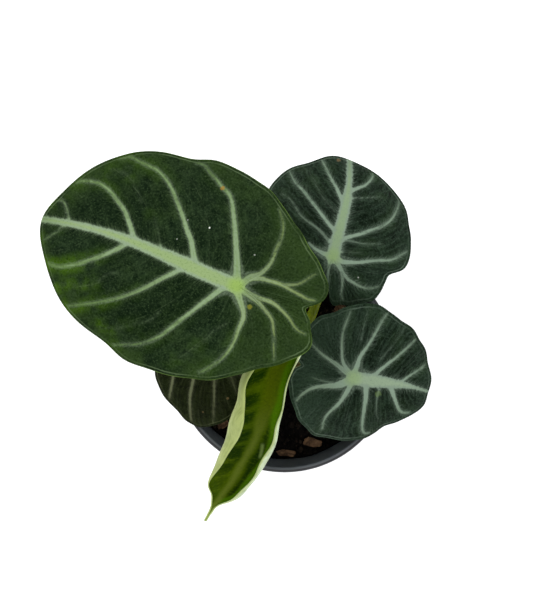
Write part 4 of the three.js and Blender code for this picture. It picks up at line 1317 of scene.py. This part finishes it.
# %% Soil body
SOIL_LEVEL = 78.0
CROWN_AT = (4.0, 4.0)


def soil_top(x, y):
    mound = 1.5 * math.exp(-((x - CROWN_AT[0]) ** 2 + (y - CROWN_AT[1]) ** 2) / 300)
    lumps = 0.7 * math.sin(0.21 * x + 1.2) * math.cos(0.18 * y - 0.6)
    lumps += 0.45 * math.sin(0.47 * x - 0.33 * y) + 0.3 * math.sin(0.71 * y + 0.52 * x + 2)
    return SOIL_LEVEL + mound + lumps


def soil_body():
    rim = inner_radius(SOIL_LEVEL - 1) - 0.25
    bottom = FLOOR_TOP + GAP
    profile = [(0, bottom), (inner_radius(bottom) - 1.2, bottom)]
    profile += [(inner_radius(bottom + 1.2) - 0.45, bottom + 1.2)]
    profile += [(inner_radius(z) - 0.35, z) for z in (30, 55, 72)]
    profile += [(rim * i / 64, SOIL_LEVEL) for i in range(64, -1, -1)]
    body = spun("soil_body", profile, 160)
    points = points_of(body) / MM
    for point in points:
        if point[2] > SOIL_LEVEL - 2:
            coarse = noise.noise(Vector((point[0] * 0.35, point[1] * 0.35, 3.0)))
            fine = noise.noise(Vector((point[0] * 1.1, point[1] * 1.1, 9.0)))
            point[2] = soil_top(point[0], point[1]) + 0.9 * coarse + 0.5 * fine
    place_points(body, points * MM)
    return body


# %% Crumbs
BARK = [
    ((13.8, -39.4), (9.6, 4.2, 3.2), -16),
    ((1.0, -44.5), (9.4, 3.2, 3.0), -8),
    ((-29.5, -30.5), (6.0, 4.0, 3.0), 40),
    ((27.0, 25.0), (9.0, 5.0, 3.4), 65),
    ((-24.0, 30.0), (8.0, 5.0, 3.0), -35),
]
CRUMBS = 1500
CRUMB_REACH = 46.3
CRUMB_LIMIT = 47.4
CROWN_CLEAR = 10
draw = np.random.default_rng(11)


def on_chip(x, y):
    """Whether a point lies on one of the bark chips."""
    for (chip_x, chip_y), size, turn in BARK:
        angle = math.radians(turn)
        along = (x - chip_x) * math.cos(angle) + (y - chip_y) * math.sin(angle)
        across = (y - chip_y) * math.cos(angle) - (x - chip_x) * math.sin(angle)
        if abs(along) < 0.5 * size[0] and abs(across) < 0.5 * size[1]:
            return True
    return False


def crumbs():
    clear_selection()
    bpy.ops.mesh.primitive_ico_sphere_add(subdivisions=1, radius=1)
    pebble = bpy.context.object
    shape = points_of(pebble)
    faces_of = np.array([polygon.vertices[:] for polygon in pebble.data.polygons])
    bpy.data.objects.remove(pebble)
    points, triangles = [], []
    for _ in range(CRUMBS):
        angle = draw.uniform(0, 2 * math.pi)
        distance = CRUMB_REACH * math.sqrt(draw.uniform(0.0, 1.0))
        x, y = distance * math.cos(angle), distance * math.sin(angle)
        if math.hypot(x - CROWN_AT[0], y - CROWN_AT[1]) < CROWN_CLEAR or on_chip(x, y):
            continue
        size = 0.35 + 1.5 * draw.uniform() ** 3
        stretch = draw.uniform(0.5, 1.3, 3) * size
        turn = Matrix.Rotation(draw.uniform(0, 6.28), 3, draw.normal(size=3))
        knocked = shape * (1 + draw.uniform(-0.25, 0.25, shape.shape))
        placed = (knocked * stretch) @ np.array(turn).T + (x, y, soil_top(x, y) + 0.35 * size)
        from_axis = np.hypot(placed[:, 0], placed[:, 1])
        placed[:, :2] *= np.minimum(1, CRUMB_LIMIT / from_axis)[:, None]
        triangles.append(faces_of + len(points) * len(shape))
        points.append(placed)
    mesh = bpy.data.meshes.new("soil_crumbs")
    mesh.from_pydata((np.concatenate(points) * MM).tolist(), [], np.concatenate(triangles).tolist())
    piece = bpy.data.objects.new("soil_crumbs", mesh)
    bpy.context.scene.collection.objects.link(piece)
    return piece


# %% Bark chips
def bark_chip(number, at, size, turn):
    clear_selection()
    bpy.ops.mesh.primitive_cube_add(size=1)
    chip = bpy.context.object
    chip.name = "bark_%d" % number
    edit_all(chip, (bpy.ops.mesh.subdivide, {"number_cuts": 13}))
    points = points_of(chip)
    for point in points:
        x, y, z = point
        corner = 1 - 0.22 * abs(2 * x) ** 2 * abs(2 * y) ** 2 * (1 + math.sin(5 * number + 3 * x - 2 * y))
        side = noise.noise(Vector((x * 2.8 + 9 * number, y * 2.8, 0.5)))
        split = noise.noise(Vector((7 * number, y * 9.0, 0.0)))
        grain_of = noise.noise(Vector((x * 1.5, y * 11.0 + number, z * 3.0)))
        level = 0.5 * noise.noise(Vector((x * 3.0 + number, y * 3.0, 4.0)))
        point[0] = size[0] * (x * corner * (0.94 + 0.16 * side) + 0.05 * (2 * x) ** 3 * split)
        point[1] = size[1] * y * corner * (0.96 + 0.20 * side)
        point[2] = size[2] * z * 0.92 + 0.22 * grain_of + level * (0.5 + z)
    place = Matrix.Translation((at[0], at[1], soil_top(*at) + 0.1 * size[2]))
    place_points(chip, points)
    chip.data.transform(Matrix.Scale(MM, 4) @ place @ Matrix.Rotation(math.radians(turn), 4, "Z"))
    return chip


# %% Soil materials
def soil_material(name, dark, light, gloss):
    paint = Paint(name)
    x, y, z = paint.object_axes()
    lump = paint.noise(x * 160, y * 160, z * 160, detail=5, roughness=0.65)
    grit = paint.noise(x * 900, y * 900, z * 900, detail=4, roughness=0.7)
    colour = paint.blend(lump.step(0.45, 0.75), dark, light)
    colour = paint.blend(grit.step(0.60, 0.75) * 0.45, colour, (0.060, 0.040, 0.026))
    return paint.finish(colour, gloss - grit * 0.2, lump * 1.2 + grit * 0.5, Specular_IOR_Level=0.05)


def bark_material():
    paint = Paint("bark")
    x, y, z = paint.object_axes()
    layer = paint.noise(x * 240, y * 240, z * 1500, detail=4, roughness=0.6)
    grit = paint.noise(x * 700, y * 700, z * 700, detail=4)
    colour = paint.blend(layer.step(0.35, 0.65), (0.040, 0.022, 0.012), (0.140, 0.078, 0.042))
    colour = paint.blend(grit.step(0.55, 0.75) * 0.5, colour, (0.250, 0.165, 0.100))
    return paint.finish(colour, 0.85, layer * 0.4 + grit * 0.3, Specular_IOR_Level=0.10)


soil = soil_body()
peat = soil_material("peat", (0.0016, 0.0013, 0.0011), (0.0075, 0.0055, 0.0042), 0.95)
finish_piece(soil, [peat], ["soil"])
loose = crumbs()
crumb = soil_material("crumb", (0.003, 0.0023, 0.0019), (0.032, 0.022, 0.015), 0.9)
finish_piece(loose, [crumb])
bark = bark_material()
for number, (at, size, turn) in enumerate(BARK, start=1):
    finish_piece(bark_chip(number, at, size, turn), [bark], ["bark_chip_%d" % number])

# %% [markdown]
# ## The crown
#
# The crown is a short stub that keeps its CAD shape, with its sockets for the stalks. It gets a dull
# brown-green skin, ringed by the scars of old leaves.

# %% Crown material
def crown_material():
    paint = Paint("crown_skin")
    x, y, z = paint.object_axes()
    scars = paint.noise(x * 30, y * 30, z * 900, detail=3)
    mottle = paint.noise(x * 300, y * 300, z * 300, detail=4)
    colour = paint.blend(mottle.step(0.35, 0.7), (0.120, 0.110, 0.025), (0.075, 0.048, 0.020))
    colour = paint.blend(scars.step(0.5, 0.7) * 0.5, colour, (0.180, 0.150, 0.060))
    return paint.finish(colour, 0.75, scars * 0.3 + mottle * 0.2, Specular_IOR_Level=0.3)


crown_node = frame["nodes"]["crown"]
crown_skin = crown_material()
for slot in crown_node.material_slots:
    slot.material = crown_skin

# %% [markdown]
# ## Floor and light
#
# The picture has a plain white ground without shadows, as from a light table. So the floor is a pale
# sheet that glows a little. A broad lamp overhead and the pale world give soft light, as in a tent, and
# two weaker lamps at the sides keep the velvet from going flat.

# %% Floor
clear_selection()
bpy.ops.mesh.primitive_plane_add(size=6, location=(0, 0, -0.0002))
floor = bpy.context.object
floor.name = "floor"
floor_paint = Paint("floor")
glow = {"Emission_Color": (1.0, 1.0, 1.0, 1.0), "Emission_Strength": 0.35}
floor.data.materials.append(floor_paint.finish((0.95, 0.95, 0.95), 0.9, Specular_IOR_Level=0.1, **glow))

# %% Lamps and world
def lamp(name, at, size, power):
    data = bpy.data.lights.new(name, "AREA")
    data.shape = "DISK"
    data.size = size
    data.energy = power
    light = bpy.data.objects.new(name, data)
    light.location = at
    light.rotation_euler = (Vector((0, 0, 0.1)) - Vector(at)).to_track_quat("-Z", "Y").to_euler()
    bpy.context.scene.collection.objects.link(light)


lamp("overhead", (-0.45, 0.55, 1.25), 0.9, 9)
lamp("right", (1.1, -0.2, 0.9), 0.8, 3)
lamp("near", (-0.3, -1.2, 0.9), 0.8, 3)
world = bpy.data.worlds.new("tent")
world.use_nodes = True
world.node_tree.nodes["Background"].inputs["Color"].default_value = (0.97, 0.98, 1.0, 1.0)
world.node_tree.nodes["Background"].inputs["Strength"].default_value = 0.80
bpy.context.scene.world = world
bpy.context.scene.view_settings.view_transform = "Standard"
